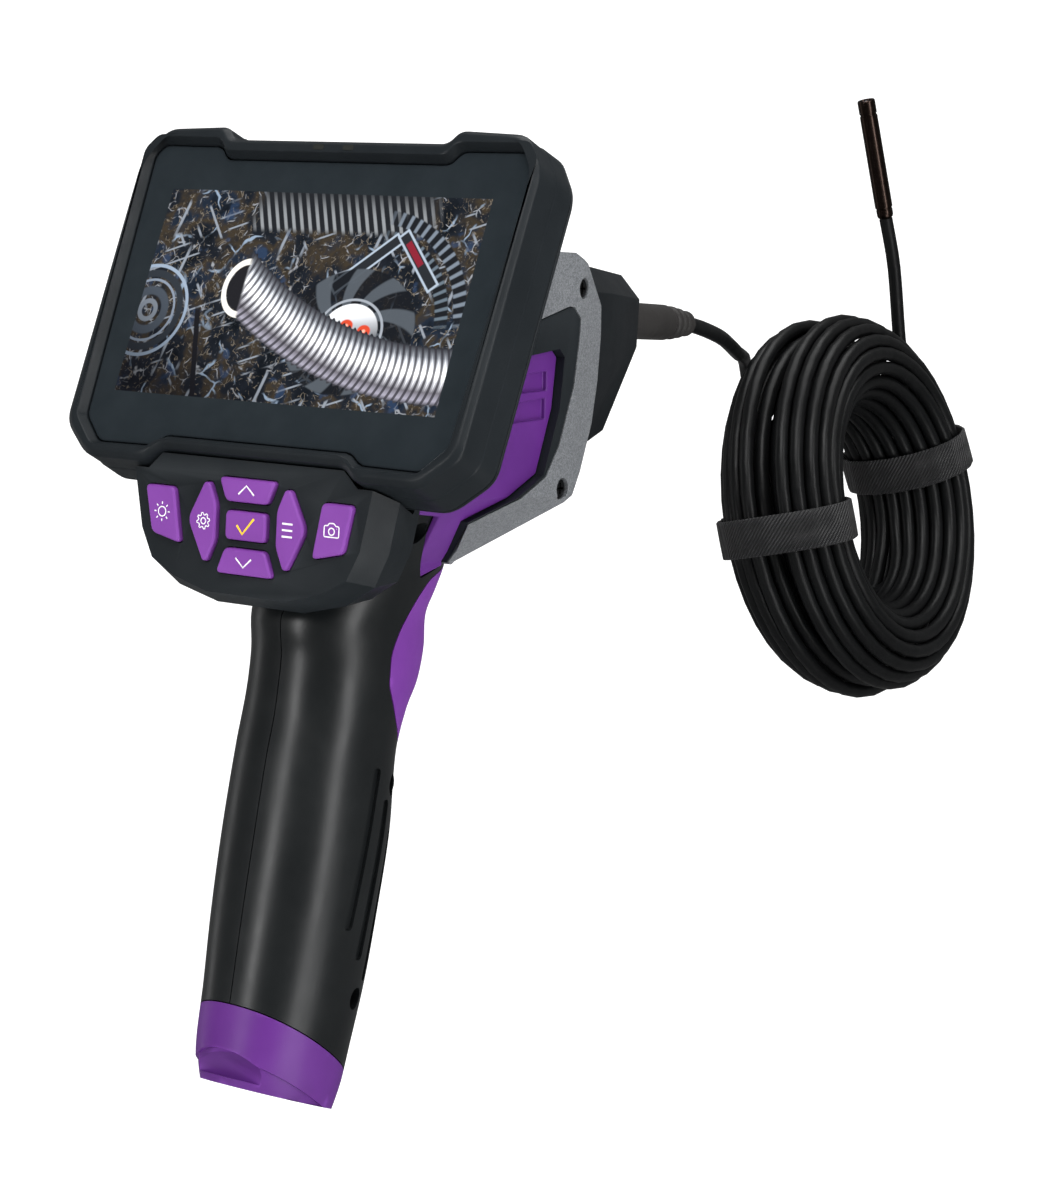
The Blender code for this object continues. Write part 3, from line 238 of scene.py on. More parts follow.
CABLE_RUBBER = rubber("cable_black_rubber", (0.0030, 0.0032, 0.0034), 0.36)
SLEEVE_RUBBER = rubber("sleeve_rubber", (0.018, 0.017, 0.0165), 0.40)
DARK_METAL = metal("camera_dark_metal", (0.020, 0.014, 0.012), (0.050, 0.034, 0.028), 0.20, 0.000004)
SCREW_BLACK = metal("screw_black_oxide", (0.015, 0.016, 0.018), (0.040, 0.042, 0.046), 0.34)
BRIGHT_METAL = metal("socket_nickel", (0.45, 0.44, 0.42), (0.62, 0.61, 0.58), 0.24)
SILVER_PAINT = flake_paint("silver_flake_paint")
print("finishes:", len(bpy.data.materials))

# %% [markdown]
# ## Making a piece
# Every piece ends the same way: its mesh is put in place, given a finish, shaded smooth except at sharp
# edges, and tied to the part of the tool that it moves with. The CAD nodes that a piece stands for are hidden.

# %% Piece helper
def finish_piece(name, data, look, body, nodes=(), place=None, sharp=32.0, weighted=True):
    """Turns a bmesh into a finished piece that rides on body and stands for the CAD nodes."""
    if place is not None:
        bmesh.ops.transform(data, matrix=place, verts=data.verts)
    bmesh.ops.recalc_face_normals(data, faces=data.faces)
    mesh = bpy.data.meshes.new(name)
    data.to_mesh(mesh)
    data.free()
    made = bpy.data.objects.new(name, mesh)
    bpy.context.scene.collection.objects.link(made)
    mesh.materials.append(look)
    mesh.shade_smooth()
    mesh.set_sharp_from_angle(angle=math.radians(sharp))
    if weighted:
        even = made.modifiers.new("Even normals", "WEIGHTED_NORMAL")
        even.keep_sharp = True
    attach(made, body)
    if nodes:
        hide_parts(*nodes)
    return made


def softened(node, width, segments=3, angle=28.0):
    """A merged copy of a CAD node, with its sharp edges rounded."""
    data = bmesh.new()
    data.from_mesh(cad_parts[node].data)
    bmesh.ops.remove_doubles(data, verts=data.verts, dist=1e-5)
    bmesh.ops.dissolve_limit(data, angle_limit=math.radians(1.5), verts=data.verts, edges=data.edges)
    sharp = [edge for edge in data.edges
             if len(edge.link_faces) == 2 and edge.calc_face_angle(0.0) > math.radians(angle)]
    bmesh.ops.bevel(data, geom=sharp, offset=width, offset_type="OFFSET", segments=segments, profile=0.5,
                    affect="EDGES", clamp_overlap=True, material=-1)
    return data


# %% [markdown]
# ## The cable and its winding
# The cable is one length: from the plug it runs behind the coil, turns down inside the ring, and goes in
# between the strands to the core. It is wound outward from there: four and a half turns in the core, about seven
# in the next layer, and twenty in the outer layer, the one that shows. Its end leaves the top of the ring for
# the camera head. One open curve follows all of it, with about forty points to a turn. Strands
# wander a little, because a hand-wound coil is never exact.

# %% Route of the cable
CABLE_DIAMETER = 4.6 * MM
COIL_RADIUS = 48.5
BUNDLE_DEPTH = 16.5
BUNDLE_HALF_WIDTH = 21.0
COIL_TURN = math.radians(2)
COIL_LEAN = math.radians(12.8)
COIL_MIDDLE = Vector((8, 303.3, -59))
COIL_NORMAL = Vector((math.cos(COIL_TURN) * math.cos(COIL_LEAN), -math.sin(COIL_TURN) * math.cos(COIL_LEAN),
                      math.sin(COIL_LEAN)))
COIL_ALONG = Vector((math.sin(COIL_TURN), math.cos(COIL_TURN), 0))
COIL_UP = COIL_NORMAL.cross(COIL_ALONG)
CABLE_EXIT = Vector((0, 192.8, -1.0))
CAMERA_BASE = Vector((0, 331, 39))
CAMERA_DIRECTION = Vector((-4.5, -13, 38.6)).normalized()


def on_coil(turn, outward, side):
    """A place at a turn in degrees, outward from the bundle's middle line and to the side of it, in mm."""
    angle = math.radians(turn)
    reach = COIL_RADIUS + outward
    return COIL_MIDDLE + (COIL_ALONG * math.cos(angle) + COIL_UP * math.sin(angle)) * reach + COIL_NORMAL * side


def oval_table(half_out, half_side, count=720):
    """Cumulative length round an oval, so that strands can be spaced evenly on it."""
    lengths = [0.0]
    for index in range(count):
        a = 2 * math.pi * index / count
        b = 2 * math.pi * (index + 1) / count
        lengths.append(lengths[-1] + math.hypot(half_out * (math.cos(b) - math.cos(a)),
                                                half_side * (math.sin(b) - math.sin(a))))
    return lengths


def oval_angle(lengths, distance):
    """The oval's angle in degrees at a distance round it."""
    turns, rest = divmod(distance, lengths[-1])
    low, high = 0, len(lengths) - 1
    while high - low > 1:
        middle = (low + high) // 2
        if lengths[middle] <= rest:
            low = middle
        else:
            high = middle
    part = (rest - lengths[low]) / (lengths[high] - lengths[low])
    return 360.0 * (turns + (low + part) / (len(lengths) - 1))


def distance_at(lengths, angle):
    turns, rest = divmod(angle, 360.0)
    place = rest / 360.0 * (len(lengths) - 1)
    low = int(place)
    return turns * lengths[-1] + lengths[low] + (lengths[min(low + 1, len(lengths) - 1)] - lengths[low]) * (place - low)


def ease(value):
    value = min(1.0, max(0.0, value))
    return value * value * (3 - 2 * value)


LAYERS = [
    # half outward, half sideways, first angle, last angle, turns
    (5.0, 9.5, 192.0, 520.0, 4.5),
    (9.6, 14.1, 545.0, 715.0, 6.6),
    (14.2, 18.7, 737.0, 1074.0, 19.975),
]
CLIMB = 0.5
STEPS_PER_TURN = 40
ENTRY_ANGLE = 190.0


def wander(turn):
    """Small drift of a strand, sideways and outward, in mm."""
    angle = math.radians(turn)
    side = 0.10 * math.sin(0.37 * angle + 1.3) + 0.07 * math.sin(1.13 * angle + 0.7)
    out = 0.30 * math.sin(0.83 * angle + 2.1) + 0.18 * math.sin(2.17 * angle)
    return side, out


def parted(distance, lengths, turn):
    """Moves a strand aside where the cable goes in between the strands."""
    local = turn % 360.0
    window = ease((local - 225.0) / 30.0) * ease((350.0 - local) / 30.0)
    whole = lengths[-1]
    away = (distance - distance_at(lengths, ENTRY_ANGLE) + whole / 2) % whole - whole / 2
    shift = max(0.0, 1.6 - 0.12 * abs(away))
    return distance + math.copysign(shift * window, away)


def winding(start_turn):
    """Points of the wound cable, from the core out, and the turn where it ends."""
    points = []
    turn = start_turn
    for number, (half_out, half_side, first, last, turns) in enumerate(LAYERS):
        lengths = oval_table(half_out, half_side)
        begin = distance_at(lengths, first)
        end = distance_at(lengths, last)
        steps = round(turns * STEPS_PER_TURN)
        for step in range(steps + 1):
            here = turn + 360.0 * step / STEPS_PER_TURN
            side, out = wander(here)
            place = begin + (end - begin) * step / steps + side
            if number:
                place = parted(place, lengths, here)
            angle = math.radians(oval_angle(lengths, place))
            scale = 1.0 + out / half_side
            points.append((here, half_out * scale * math.cos(angle), half_side * scale * math.sin(angle)))
        turn += 360.0 * (steps / STEPS_PER_TURN + CLIMB)
    return points


def filled(points):
    """Adds the climbing stretches between layers, so that the steps round the ring stay even."""
    full = [points[0]]
    step = 360.0 / STEPS_PER_TURN
    for before, after in zip(points, points[1:]):
        missing = round((after[0] - before[0]) / step)
        for index in range(1, missing):
            part = ease(index / missing)
            full.append(tuple(a + (b - a) * (index / missing if axis == 0 else part)
                              for axis, (a, b) in enumerate(zip(before, after))))
        full.append(after)
    return full


def curved(points, spacing):
    """Even points along a smooth curve through the route points."""
    padded = [points[0] * 2 - points[1]] + points + [points[-1] * 2 - points[-2]]
    dense = []
    for a, b, c, d in zip(padded, padded[1:], padded[2:], padded[3:]):
        for step in range(24):
            t = step / 24
            dense.append(0.5 * ((2 * b) + (c - a) * t + (2 * a - 5 * b + 4 * c - d) * t * t
                                + (3 * b - a - 3 * c + d) * t * t * t))
    dense.append(points[-1])
    route = [dense[0]]
    travelled = 0.0
    for before, after in zip(dense, dense[1:]):
        travelled += (after - before).length
        if travelled >= spacing:
            route.append(after)
            travelled = 0.0
    route[-1] = dense[-1]
    return route


lead = [CABLE_EXIT] + [Vector(place) for place in (
    (-0.5, 203.0, -2.0), (-2.9, 220.7, -4.5), (-8.4, 239.0, -7.4), (-15.6, 257.5, -9.6), (-22.4, 273.6, -10.6),
    (-28.4, 287.6, -12.2), (-33.0, 299.5, -18.3), (-34.0, 306.5, -29.0), (-31.0, 307.5, -41.0),
    (-25.5, 303.0, -53.0))]
for turn, inward, side in ((195, 22.5, -25.5), (222, 16.5, -20.5), (243, 10.0, -15.0), (259, 4.7, -9.5),
                           (272, 2.4, -4.5)):
    lead.append(on_coil(turn, -BUNDLE_DEPTH - inward, side))
for turn, outward, side in ((290, -16.0, -3.0), (308, -12.2, -2.4), (328, -8.0, -2.0)):
    lead.append(on_coil(turn, outward, side))
wound = filled(winding(354.0))
coil_points = [on_coil(turn, outward, side) for turn, outward, side in wound]
last_turn = wound[-1][0] % 360.0
tail = [on_coil(last_turn + 15, 14.9, 4.0), on_coil(50, 17.4, 5.0),
        CAMERA_BASE - CAMERA_DIRECTION * 18, CAMERA_BASE - CAMERA_DIRECTION * 0.3]
head_run = curved(lead + coil_points[:1], 5.0)
tail_run = curved(coil_points[-1:] + tail, 5.0)
route = [HEAD @ (point * MM) for point in head_run[:-1] + coil_points + tail_run[1:]]
cable_length = sum((after - before).length for before, after in zip(route, route[1:]))
print("cable points:", len(route), "length:", round(cable_length, 3), "last turn at", round(last_turn, 1))

# %% Cable as one curve
cable_data = bpy.data.curves.new("push_cable", "CURVE")
cable_data.dimensions = "3D"
strand = cable_data.splines.new("POLY")
strand.points.add(len(route) - 1)
for spot, place in zip(strand.points, route):
    spot.co = (*place, 1.0)
strand.use_smooth = True
cable_data.bevel_depth = CABLE_DIAMETER / 2
cable_data.bevel_resolution = 3
cable_data.use_fill_caps = True
cable = bpy.data.objects.new("push_cable", cable_data)
bpy.context.scene.collection.objects.link(cable)
cable_data.materials.append(CABLE_RUBBER)
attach(cable, VIEWER)
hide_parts("cable_lead", "cable_coil", "cable_tail")

# %% [markdown]
# ## Moulded shells taken from the CAD
# The cowl, the frames, the panels, the nose and the keypad body already have the right outlines. A
# real moulding has no knife edges, so each is copied, merged, and given a rounded edge of its own size. The
# bevel is wide on the painted cowl and narrow on the inset panels.

# %% Shells with rounded edges
SHELLS = [
    ("cowl", 0.9, SILVER_PAINT, "silver_cowl"),
    ("side_frame_left", 0.45, HOUSING_BLACK, "housing_black"),
    ("side_frame_right", 0.45, HOUSING_BLACK, "housing_black"),
    ("side_panel_left", 0.35, PURPLE, "purple_plastic"),
    ("side_panel_right", 0.35, PURPLE, "purple_plastic"),
    ("nose_cap", 0.8, NOSE_BLACK, "housing_black"),
    ("keypad_shell", 0.5, HOUSING_BLACK, "housing_black"),
    ("trigger_surround", 0.4, HOUSING_BLACK, "rubber_black"),
]
for node, width, look, material_slot in SHELLS:
    shell = finish_piece(node + "_shell", softened(node, width * MM), look, VIEWER, [node])
    print(shell.name, "faces:", len(shell.data.polygons))

# %% [markdown]
# ## Outlines with round corners
# The housing and the keys are drawn as flat outlines with few corners. Growing an outline by a distance and
# rounding its corners gives every loop of a moulded edge. The loops are then drawn out one from another, which
# keeps their points in step.

# %% Outline helpers
def mirrored(outline):
    """The right-hand half of an outline, from its bottom up, with the left-hand half added."""
    return outline + [(-x, y) for x, y in reversed(outline)]


def grown(outline, distance):
    """The outline moved outward, or inward where distance is negative."""
    total = sum(ax * by - bx * ay for (ax, ay), (bx, by) in zip(outline, outline[1:] + outline[:1]))
    turn = 1 if total > 0 else -1
    moved = []
    for index, (x, y) in enumerate(outline):
        before = outline[index - 1]
        after = outline[(index + 1) % len(outline)]
        first = Vector((x - before[0], y - before[1])).normalized()
        second = Vector((after[0] - x, after[1] - y)).normalized()
        middle = (Vector((first.y, -first.x)) + Vector((second.y, -second.x))) * turn
        scale = distance * 2 / middle.length_squared
        moved.append((x + middle.x * scale, y + middle.y * scale))
    return moved


def rounded(outline, radius, steps=5):
    """Each corner replaced by a short curve."""
    made = []
    for index, corner in enumerate(outline):
        here = Vector(corner)
        back = Vector(outline[index - 1]) - here
        ahead = Vector(outline[(index + 1) % len(outline)]) - here
        reach = min(radius, back.length * 0.45, ahead.length * 0.45)
        start = here + back.normalized() * reach
        end = here + ahead.normalized() * reach
        for step in range(steps + 1):
            part = step / steps
            spot = start.lerp(here, part).lerp(here.lerp(end, part), part)
            made.append((spot.x, spot.y))
    return made


def drawn_out(loops, closed=False):
    """A solid through loops of equally many points: ends are filled, or joined where the section is closed."""
    data = bmesh.new()
    current = [data.verts.new(place) for place in loops[0]]
    edges = [data.edges.new(pair) for pair in zip(current, current[1:] + current[:1])]
    if not closed:
        bmesh.ops.contextual_create(data, geom=edges)
    for places in loops[1:] + (loops[:1] if closed else []):
        made = bmesh.ops.extrude_edge_only(data, edges=edges)["geom"]
        fresh = {item for item in made if isinstance(item, bmesh.types.BMVert)}
        following = []
        for old in current:
            following.append(next(edge.other_vert(old) for edge in old.link_edges if edge.other_vert(old) in fresh))
        for vertex, place in zip(following, places):
            vertex.co = place
        current = following
        edges = [data.edges.get(pair) for pair in zip(current, current[1:] + current[:1])]
    if not closed:
        bmesh.ops.contextual_create(data, geom=edges)
    bmesh.ops.remove_doubles(data, verts=data.verts, dist=1e-6)
    return data


def flat_loop(outline, level):
    return [(x, y, level) for x, y in outline]


IN_MM = Matrix.Scale(MM, 4)
ON_SCREEN = SCREEN @ IN_MM

# %% [markdown]
# ## The display housing
# The bezel is one moulding with a wide outer chamfer, a flat rim and a second chamfer down to the glass. Its
# section is a closed chain of loops, so the bezel is a true ring with a wall, not a plate with a hole. The
# outline steps in above the glass for two indicator windows, and below it to make room for the keypad.

# %% Bezel
HALF_WIDTH = 59.0
HALF_HEIGHT = 43.5
RIM = mirrored([
    (0.46 * HALF_WIDTH, -HALF_HEIGHT + 2.6), (0.53 * HALF_WIDTH, -HALF_HEIGHT - 1.0),
    (HALF_WIDTH - 9.5, -HALF_HEIGHT - 1.0), (HALF_WIDTH - 0.5, -HALF_HEIGHT + 7.0),
    (HALF_WIDTH + 0.5, HALF_HEIGHT - 10.0), (HALF_WIDTH - 5.5, HALF_HEIGHT - 0.8),
    (0.585 * HALF_WIDTH, HALF_HEIGHT), (0.54 * HALF_WIDTH, HALF_HEIGHT - 3.4)])
GLASS_HALF = HALF_WIDTH - 2.8
GLASS = mirrored([
    (0.485 * GLASS_HALF, -HALF_HEIGHT + 6.4), (0.55 * GLASS_HALF, -HALF_HEIGHT + 3.6),
    (GLASS_HALF - 8.6, -HALF_HEIGHT + 3.4), (GLASS_HALF - 2.6, -HALF_HEIGHT + 9.6),
    (GLASS_HALF, HALF_HEIGHT - 7.6), (GLASS_HALF - 2.2, HALF_HEIGHT - 4.9),
    (0.64 * GLASS_HALF, HALF_HEIGHT - 5.0), (0.59 * GLASS_HALF, HALF_HEIGHT - 8.4)])


def rim_loop(distance, level, radius=3.2):
    return flat_loop(rounded(grown(RIM, distance), radius), level)


def glass_loop(distance, level, radius=1.6):
    return flat_loop(rounded(grown(GLASS, distance), radius), level)


bezel_loops = [
    rim_loop(0.75, -12.0), rim_loop(0.90, -11.8), rim_loop(0.55, -6.0), rim_loop(0.42, -5.6), rim_loop(0.30, -5.2),
    rim_loop(0.05, 1.0), rim_loop(-0.05, 1.5), rim_loop(-0.28, 1.95), rim_loop(-1.10, 2.72), rim_loop(-1.5, 2.94),
    rim_loop(-2.0, 3.0), glass_loop(2.0, 3.0), glass_loop(1.62, 2.93), glass_loop(1.38, 2.70), glass_loop(0.42, 0.82),
    glass_loop(0.30, 0.5), glass_loop(0.30, -1.3), glass_loop(-2.2, -1.3), glass_loop(-2.2, -2.5),
    rim_loop(-2.4, -2.6), rim_loop(-2.4, -12.0)]
bezel = finish_piece("display_bezel", drawn_out(bezel_loops, closed=True), HOUSING_BLACK, VIEWER, ["screen_bezel"],
                     ON_SCREEN)

# %% Rear half of the housing
# A low arch rises behind the notch in the bezel's top edge and catches the light.
ARCH = [(0.54 * HALF_WIDTH - 1.0, HALF_HEIGHT - 2.9), (20.0, HALF_HEIGHT - 1.5), (7.0, HALF_HEIGHT - 0.6)]
BACK = mirrored(RIM[:7] + ARCH)
back_loops = [flat_loop(rounded(grown(BACK, distance), radius), level) for distance, level, radius in (
    (-2.4, -15.3, 2.0), (-1.4, -15.1, 2.5), (-0.2, -14.4, 3.0), (0.45, -13.7, 3.2), (0.9, -12.9, 3.2), (0.9, -12.5, 3.2),
    (0.7, -12.3, 3.2))]
back = finish_piece("housing_back", drawn_out(back_loops), HOUSING_BLACK, VIEWER, ["screen_back"], ON_SCREEN)
print("bezel faces:", len(bezel.data.polygons), "back faces:", len(back.data.polygons))

# %% [markdown]
# ## The glass and its picture
# Behind the glass the display shows what the camera head sees: the inside of an engine bay with a corrugated
# hose. The picture is drawn by the material itself. A small helper lets node values be added and compared like
# numbers, and each thing in the picture is a formula in millimetres on the screen: distance from an arc for
# the hose, rings and spokes for the wheels, cell edges for the clutter.

# %% Node arithmetic
class Field:
    """A number at each point of a surface, kept as a node socket."""

    def __init__(self, tree, socket):
        self.tree = tree
        self.socket = socket

    def combine(self, kind, other=None):
        made = self.tree.nodes.new("ShaderNodeMath")
        made.operation = kind
        self.tree.links.new(self.socket, made.inputs[0])
        if isinstance(other, Field):
            self.tree.links.new(other.socket, made.inputs[1])
        elif other is not None:
            made.inputs[1].default_value = other
        return Field(self.tree, made.outputs[0])

    def __add__(self, other):
        return self.combine("ADD", other)

    def __sub__(self, other):
        return self.combine("SUBTRACT", other)

    def __mul__(self, other):
        return self.combine("MULTIPLY", other)

    def __truediv__(self, other):
        return self.combine("DIVIDE", other)

    def sine(self):
        return self.combine("SINE")

    def size(self):
        return self.combine("ABSOLUTE")

    def least(self, other):
        return self.combine("MINIMUM", other)

    def most(self, other):
        return self.combine("MAXIMUM", other)

    def step(self, low, high):
        """Zero below low, one above high, smooth between; low may be the greater."""
        made = self.tree.nodes.new("ShaderNodeMapRange")
        made.interpolation_type = "SMOOTHSTEP"
        self.tree.links.new(self.socket, made.inputs["Value"])
        made.inputs["From Min"].default_value = low
        made.inputs["From Max"].default_value = high
        return Field(self.tree, made.outputs["Result"])


def length_of(a, b):
    return (a * a + b * b).combine("SQRT")


def angle_of(a, b):
    return a.combine("ARCTAN2", b)


def laid_over(tree, below, colour, mask):
    """colour painted over below wherever mask is one."""
    made = add_node(tree, "ShaderNodeMix", data_type="RGBA")
    tree.links.new(mask.socket, made.inputs["Factor"])
    for key, value in (("A", below), ("B", colour)):
        if isinstance(value, bpy.types.NodeSocket):
            tree.links.new(value, made.inputs[key])
        else:
            made.inputs[key].default_value = (*value, 1.0)
    return made.outputs["Result"]


# %% Picture on the display
def screen_finish():
    made, tree, shader = new_finish("display_picture")
    mapped = add_node(tree, "ShaderNodeMapping", {
        "Vector": own_space(tree), "Location": HEAD.translation, "Rotation": (math.pi / 2 - DISPLAY_TILT, 0, 0),
        "Scale": (MM, MM, MM)}, vector_type="TEXTURE").outputs["Vector"]
    parts = add_node(tree, "ShaderNodeSeparateXYZ", {"Vector": mapped})
    x = Field(tree, parts.outputs["X"])
    y = Field(tree, parts.outputs["Y"])

    # Clutter: three sizes of cells, whose edges shine like pipes and brackets.
    bent = add_node(tree, "ShaderNodeTexNoise", {"Vector": mapped, "Scale": 0.11, "Detail": 3.0})
    warp = add_node(tree, "ShaderNodeVectorMath", {0: bent.outputs["Color"]}, operation="SCALE")
    warp.inputs["Scale"].default_value = 7.0
    shifted = add_node(tree, "ShaderNodeVectorMath", {0: mapped, 1: warp.outputs["Vector"]}, operation="ADD")
    space = shifted.outputs["Vector"]
    patches = Field(tree, noise(tree, mapped, 0.075, 4.0))
    colour = ramp(tree, patches.socket, [
        (0.30, (0.002, 0.003, 0.004)), (0.46, (0.008, 0.010, 0.014)), (0.53, (0.030, 0.023, 0.015)),
        (0.60, (0.010, 0.015, 0.025)), (0.72, (0.003, 0.004, 0.005))])
    for scale, width, glow in ((0.10, 0.035, (0.20, 0.26, 0.34)), (0.24, 0.05, (0.22, 0.23, 0.25)),
                               (0.55, 0.06, (0.13, 0.11, 0.085))):
        cells = add_node(tree, "ShaderNodeTexVoronoi", {"Vector": space, "Scale": scale}, feature="DISTANCE_TO_EDGE")
        edge = Field(tree, cells.outputs["Distance"]).step(width, width * 0.3)
        gate = Field(tree, noise(tree, mapped, scale * 1.3, 2.0)).step(0.50, 0.64)
        colour = laid_over(tree, colour, glow, edge * gate * 0.85)
    for slant_x, slant_y, pitch, seed in ((0.80, 0.60, 1.25, 3.0), (0.35, -0.94, 1.7, 11.0), (0.97, -0.22, 0.95, 23.0)):
        line = ((x * slant_x + y * slant_y) * pitch).sine().step(0.86, 0.99)
        offset_space = add_node(tree, "ShaderNodeVectorMath", {0: mapped, 1: (seed, seed, 0.0)}, operation="ADD")
        gate = Field(tree, noise(tree, offset_space.outputs["Vector"], 0.085, 1.0)).step(0.57, 0.63)
        colour = laid_over(tree, colour, (0.17, 0.19, 0.22), line * gate)
    fine = Field(tree, noise(tree, space, 0.9, 6.0, 0.7)).step(0.60, 0.78)
    colour = laid_over(tree, colour, (0.34, 0.35, 0.37), fine * 0.5)
    blue = Field(tree, noise(tree, mapped, 0.16, 2.0)).step(0.60, 0.68)
    colour = laid_over(tree, colour, (0.020, 0.038, 0.080), blue * 0.6)

    # Finned duct along the top.
    lean = x + y * 0.42
    fins = (lean * 2.6).sine().step(-0.1, 0.75)
    duct = y.step(16.0, 18.0) * x.step(-21.0, -17.0) * x.step(36.0, 30.0)
    colour = laid_over(tree, colour, (0.010, 0.011, 0.013), duct)
    colour = laid_over(tree, colour, (0.17, 0.18, 0.19), duct * fins * y.step(29.0, 20.0))

    # Shroud at the upper right: two toothed arcs, the outer one brighter.
    away = length_of(x - 18.0, y + 8.0)
    turn = angle_of(y + 8.0, x - 18.0)
    for radius, glow in ((24.5, (0.10, 0.13, 0.16)), (29.5, (0.15, 0.18, 0.22))):
        band = (away - radius).size().step(2.0, 1.5) * turn.step(0.05, 0.2) * turn.step(1.55, 1.3)
        colour = laid_over(tree, colour, (0.008, 0.009, 0.011), band)
        colour = laid_over(tree, colour, glow, band * (turn * 70.0).sine().step(-0.1, 0.9) * 0.8)

    # Bracket: two legs that meet in a point, each a bright edge round a dark web, with a red tag.
    for middle_x, middle_y, slope_x, slope_y, half in ((17.0, 9.4, 0.755, 0.656, 10.8), (31.5, 10.8, 0.675, -0.738, 9.4)):
        bar = (x - middle_x) * slope_x + (y - middle_y) * slope_y
        across = (x - middle_x) * -slope_y + (y - middle_y) * slope_x
        leg = across.size().step(1.9, 1.6) * bar.size().step(half, half - 0.4)
        web = across.size().step(1.35, 1.05) * bar.size().step(half - 0.6, half - 1.0)
        colour = laid_over(tree, colour, (0.26, 0.31, 0.37), leg)
        colour = laid_over(tree, colour, (0.014, 0.016, 0.019), web)
    colour = laid_over(tree, colour, (0.15, 0.012, 0.022), across.size().step(0.95, 0.7) * (bar + 2.2).size().step(4.0, 3.6))

    # Fan with blades, a domed hub and two red lamps.
    away = length_of(x - 17.3, (y + 7.8) * 1.15)
    turn = angle_of(y + 7.8, x - 17.3)
    blades = (turn * 9.0 + away * 0.35).sine().step(-0.15, 0.35)
    wheel = away.step(18.6, 18.0)
    colour = laid_over(tree, colour, (0.006, 0.007, 0.009), wheel * 0.9)
    colour = laid_over(tree, colour, (0.060, 0.070, 0.082), wheel * blades * 0.85)
    colour = laid_over(tree, colour, (0.22, 0.24, 0.27), (away - 9.3).size().step(0.5, 0.2))
    hub = away.step(8.3, 7.9)
    shade = ramp(tree, ((y + 7.8) * 0.09 + (x - 17.3) * -0.015 + 0.42).socket, [
        (0.15, (0.045, 0.050, 0.058)), (0.55, (0.30, 0.31, 0.33)), (0.85, (0.62, 0.63, 0.65))])
    colour = laid_over(tree, colour, shade, hub)
    for middle_x, middle_y in ((16.2, -6.3), (21.5, -7.4)):
        lamp = length_of((x - middle_x) * 0.75 - (y - middle_y) * 0.35, (y - middle_y) * 0.9 + (x - middle_x) * 0.3)
        colour = laid_over(tree, colour, (0.42, 0.045, 0.020), lamp.step(1.7, 1.3))
        colour = laid_over(tree, colour, (0.70, 0.30, 0.22), lamp.step(0.6, 0.2))

    # Pulley at the left edge.
    away = length_of(x + 44.5, y + 5.5)
    for radius, width, glow in ((11.8, 0.55, (0.20, 0.25, 0.32)), (9.7, 1.2, (0.020, 0.024, 0.030)),
                                (8.0, 0.4, (0.16, 0.19, 0.24)), (5.2, 1.4, (0.045, 0.055, 0.070)),
                                (2.4, 0.8, (0.14, 0.16, 0.19))):
        colour = laid_over(tree, colour, glow, (away - radius).size().step(width, width * 0.6))
    belt = (x + 30.2 + y * 0.26).size().step(0.9, 0.6) * y.step(-3.0, -5.0)
    colour = laid_over(tree, colour, (0.008, 0.008, 0.010), belt)

    # Bright ring, then the corrugated hose: an arc about a far centre.
    away = length_of((x + 16.6) * 1.15, y - 1.6)
    colour = laid_over(tree, colour, (0.58, 0.56, 0.52), (away - 6.9).size().step(0.95, 0.7))
    colour = laid_over(tree, colour, (0.010, 0.010, 0.012), away.step(6.2, 5.6))
    east = x - 43.9
    north = y - 86.2
    reach = length_of(east, north)
    along = angle_of(north, east) * 103.5
    offset = (reach - 103.5) / 7.0
    ribs = ((along + offset * offset * 1.5) * 3.3).sine()
    body = offset.size().step(1.0, 0.95) * x.step(-17.4, -16.2)
    ridge = (offset.size() + ribs * -0.05).step(1.03, 0.98) * x.step(-17.4, -16.2)
    metal_tone = ramp(tree, (offset * 0.5 + 0.5).socket, [
        (0.0, (0.015, 0.016, 0.020)), (0.18, (0.13, 0.14, 0.16)), (0.34, (0.52, 0.54, 0.58)), (0.47, (0.92, 0.93, 0.95)),
        (0.60, (0.36, 0.36, 0.39)), (0.78, (0.10, 0.095, 0.11)), (0.92, (0.24, 0.23, 0.28)), (1.0, (0.03, 0.03, 0.035))])
    colour = laid_over(tree, colour, metal_tone, body.most(ridge))
    grooves = ribs.step(0.1, -0.75)
    colour = laid_over(tree, colour, (0.022, 0.021, 0.026), body * grooves * 0.86)
    glints = ribs.step(0.80, 0.97) * (offset + 0.12).size().step(0.75, 0.1)
    colour = laid_over(tree, colour, (0.95, 0.96, 0.98), body * glints * 0.6)

    # Darker toward the lower left, and the black mask round the picture.
    dim = (x * 0.6 + y + 42.0).step(-8.0, 26.0)
    colour = laid_over(tree, (0.002, 0.002, 0.003), colour, dim * 0.65 + 0.25)
    lit = (x.size().step(47.6, 47.4)) * (y.size().step(27.0, 26.8))
    mask = ramp(tree, noise(tree, mapped, 0.12, 3.0), [(0.3, (0.0150, 0.0195, 0.0230)), (0.7, (0.0180, 0.0230, 0.0270))])
    tree.links.new(laid_over(tree, mask, colour, lit), shader.inputs["Base Color"])
    tree.links.new(laid_over(tree, (0.0, 0.0, 0.0), colour, lit), shader.inputs["Emission Color"])
    set_socket(shader, {"Emission Strength": 0.75, "Specular IOR Level": 0.06})
    smears = Field(tree, noise(tree, mapped, 0.05, 5.0, 0.6)).step(0.35, 0.75) * 0.06 + 0.10
    tree.links.new(smears.socket, shader.inputs["Roughness"])
    bumps(tree, shader, [(noise(tree, own_space(tree), 60.0, 1.0), 0.00001)])
    return made


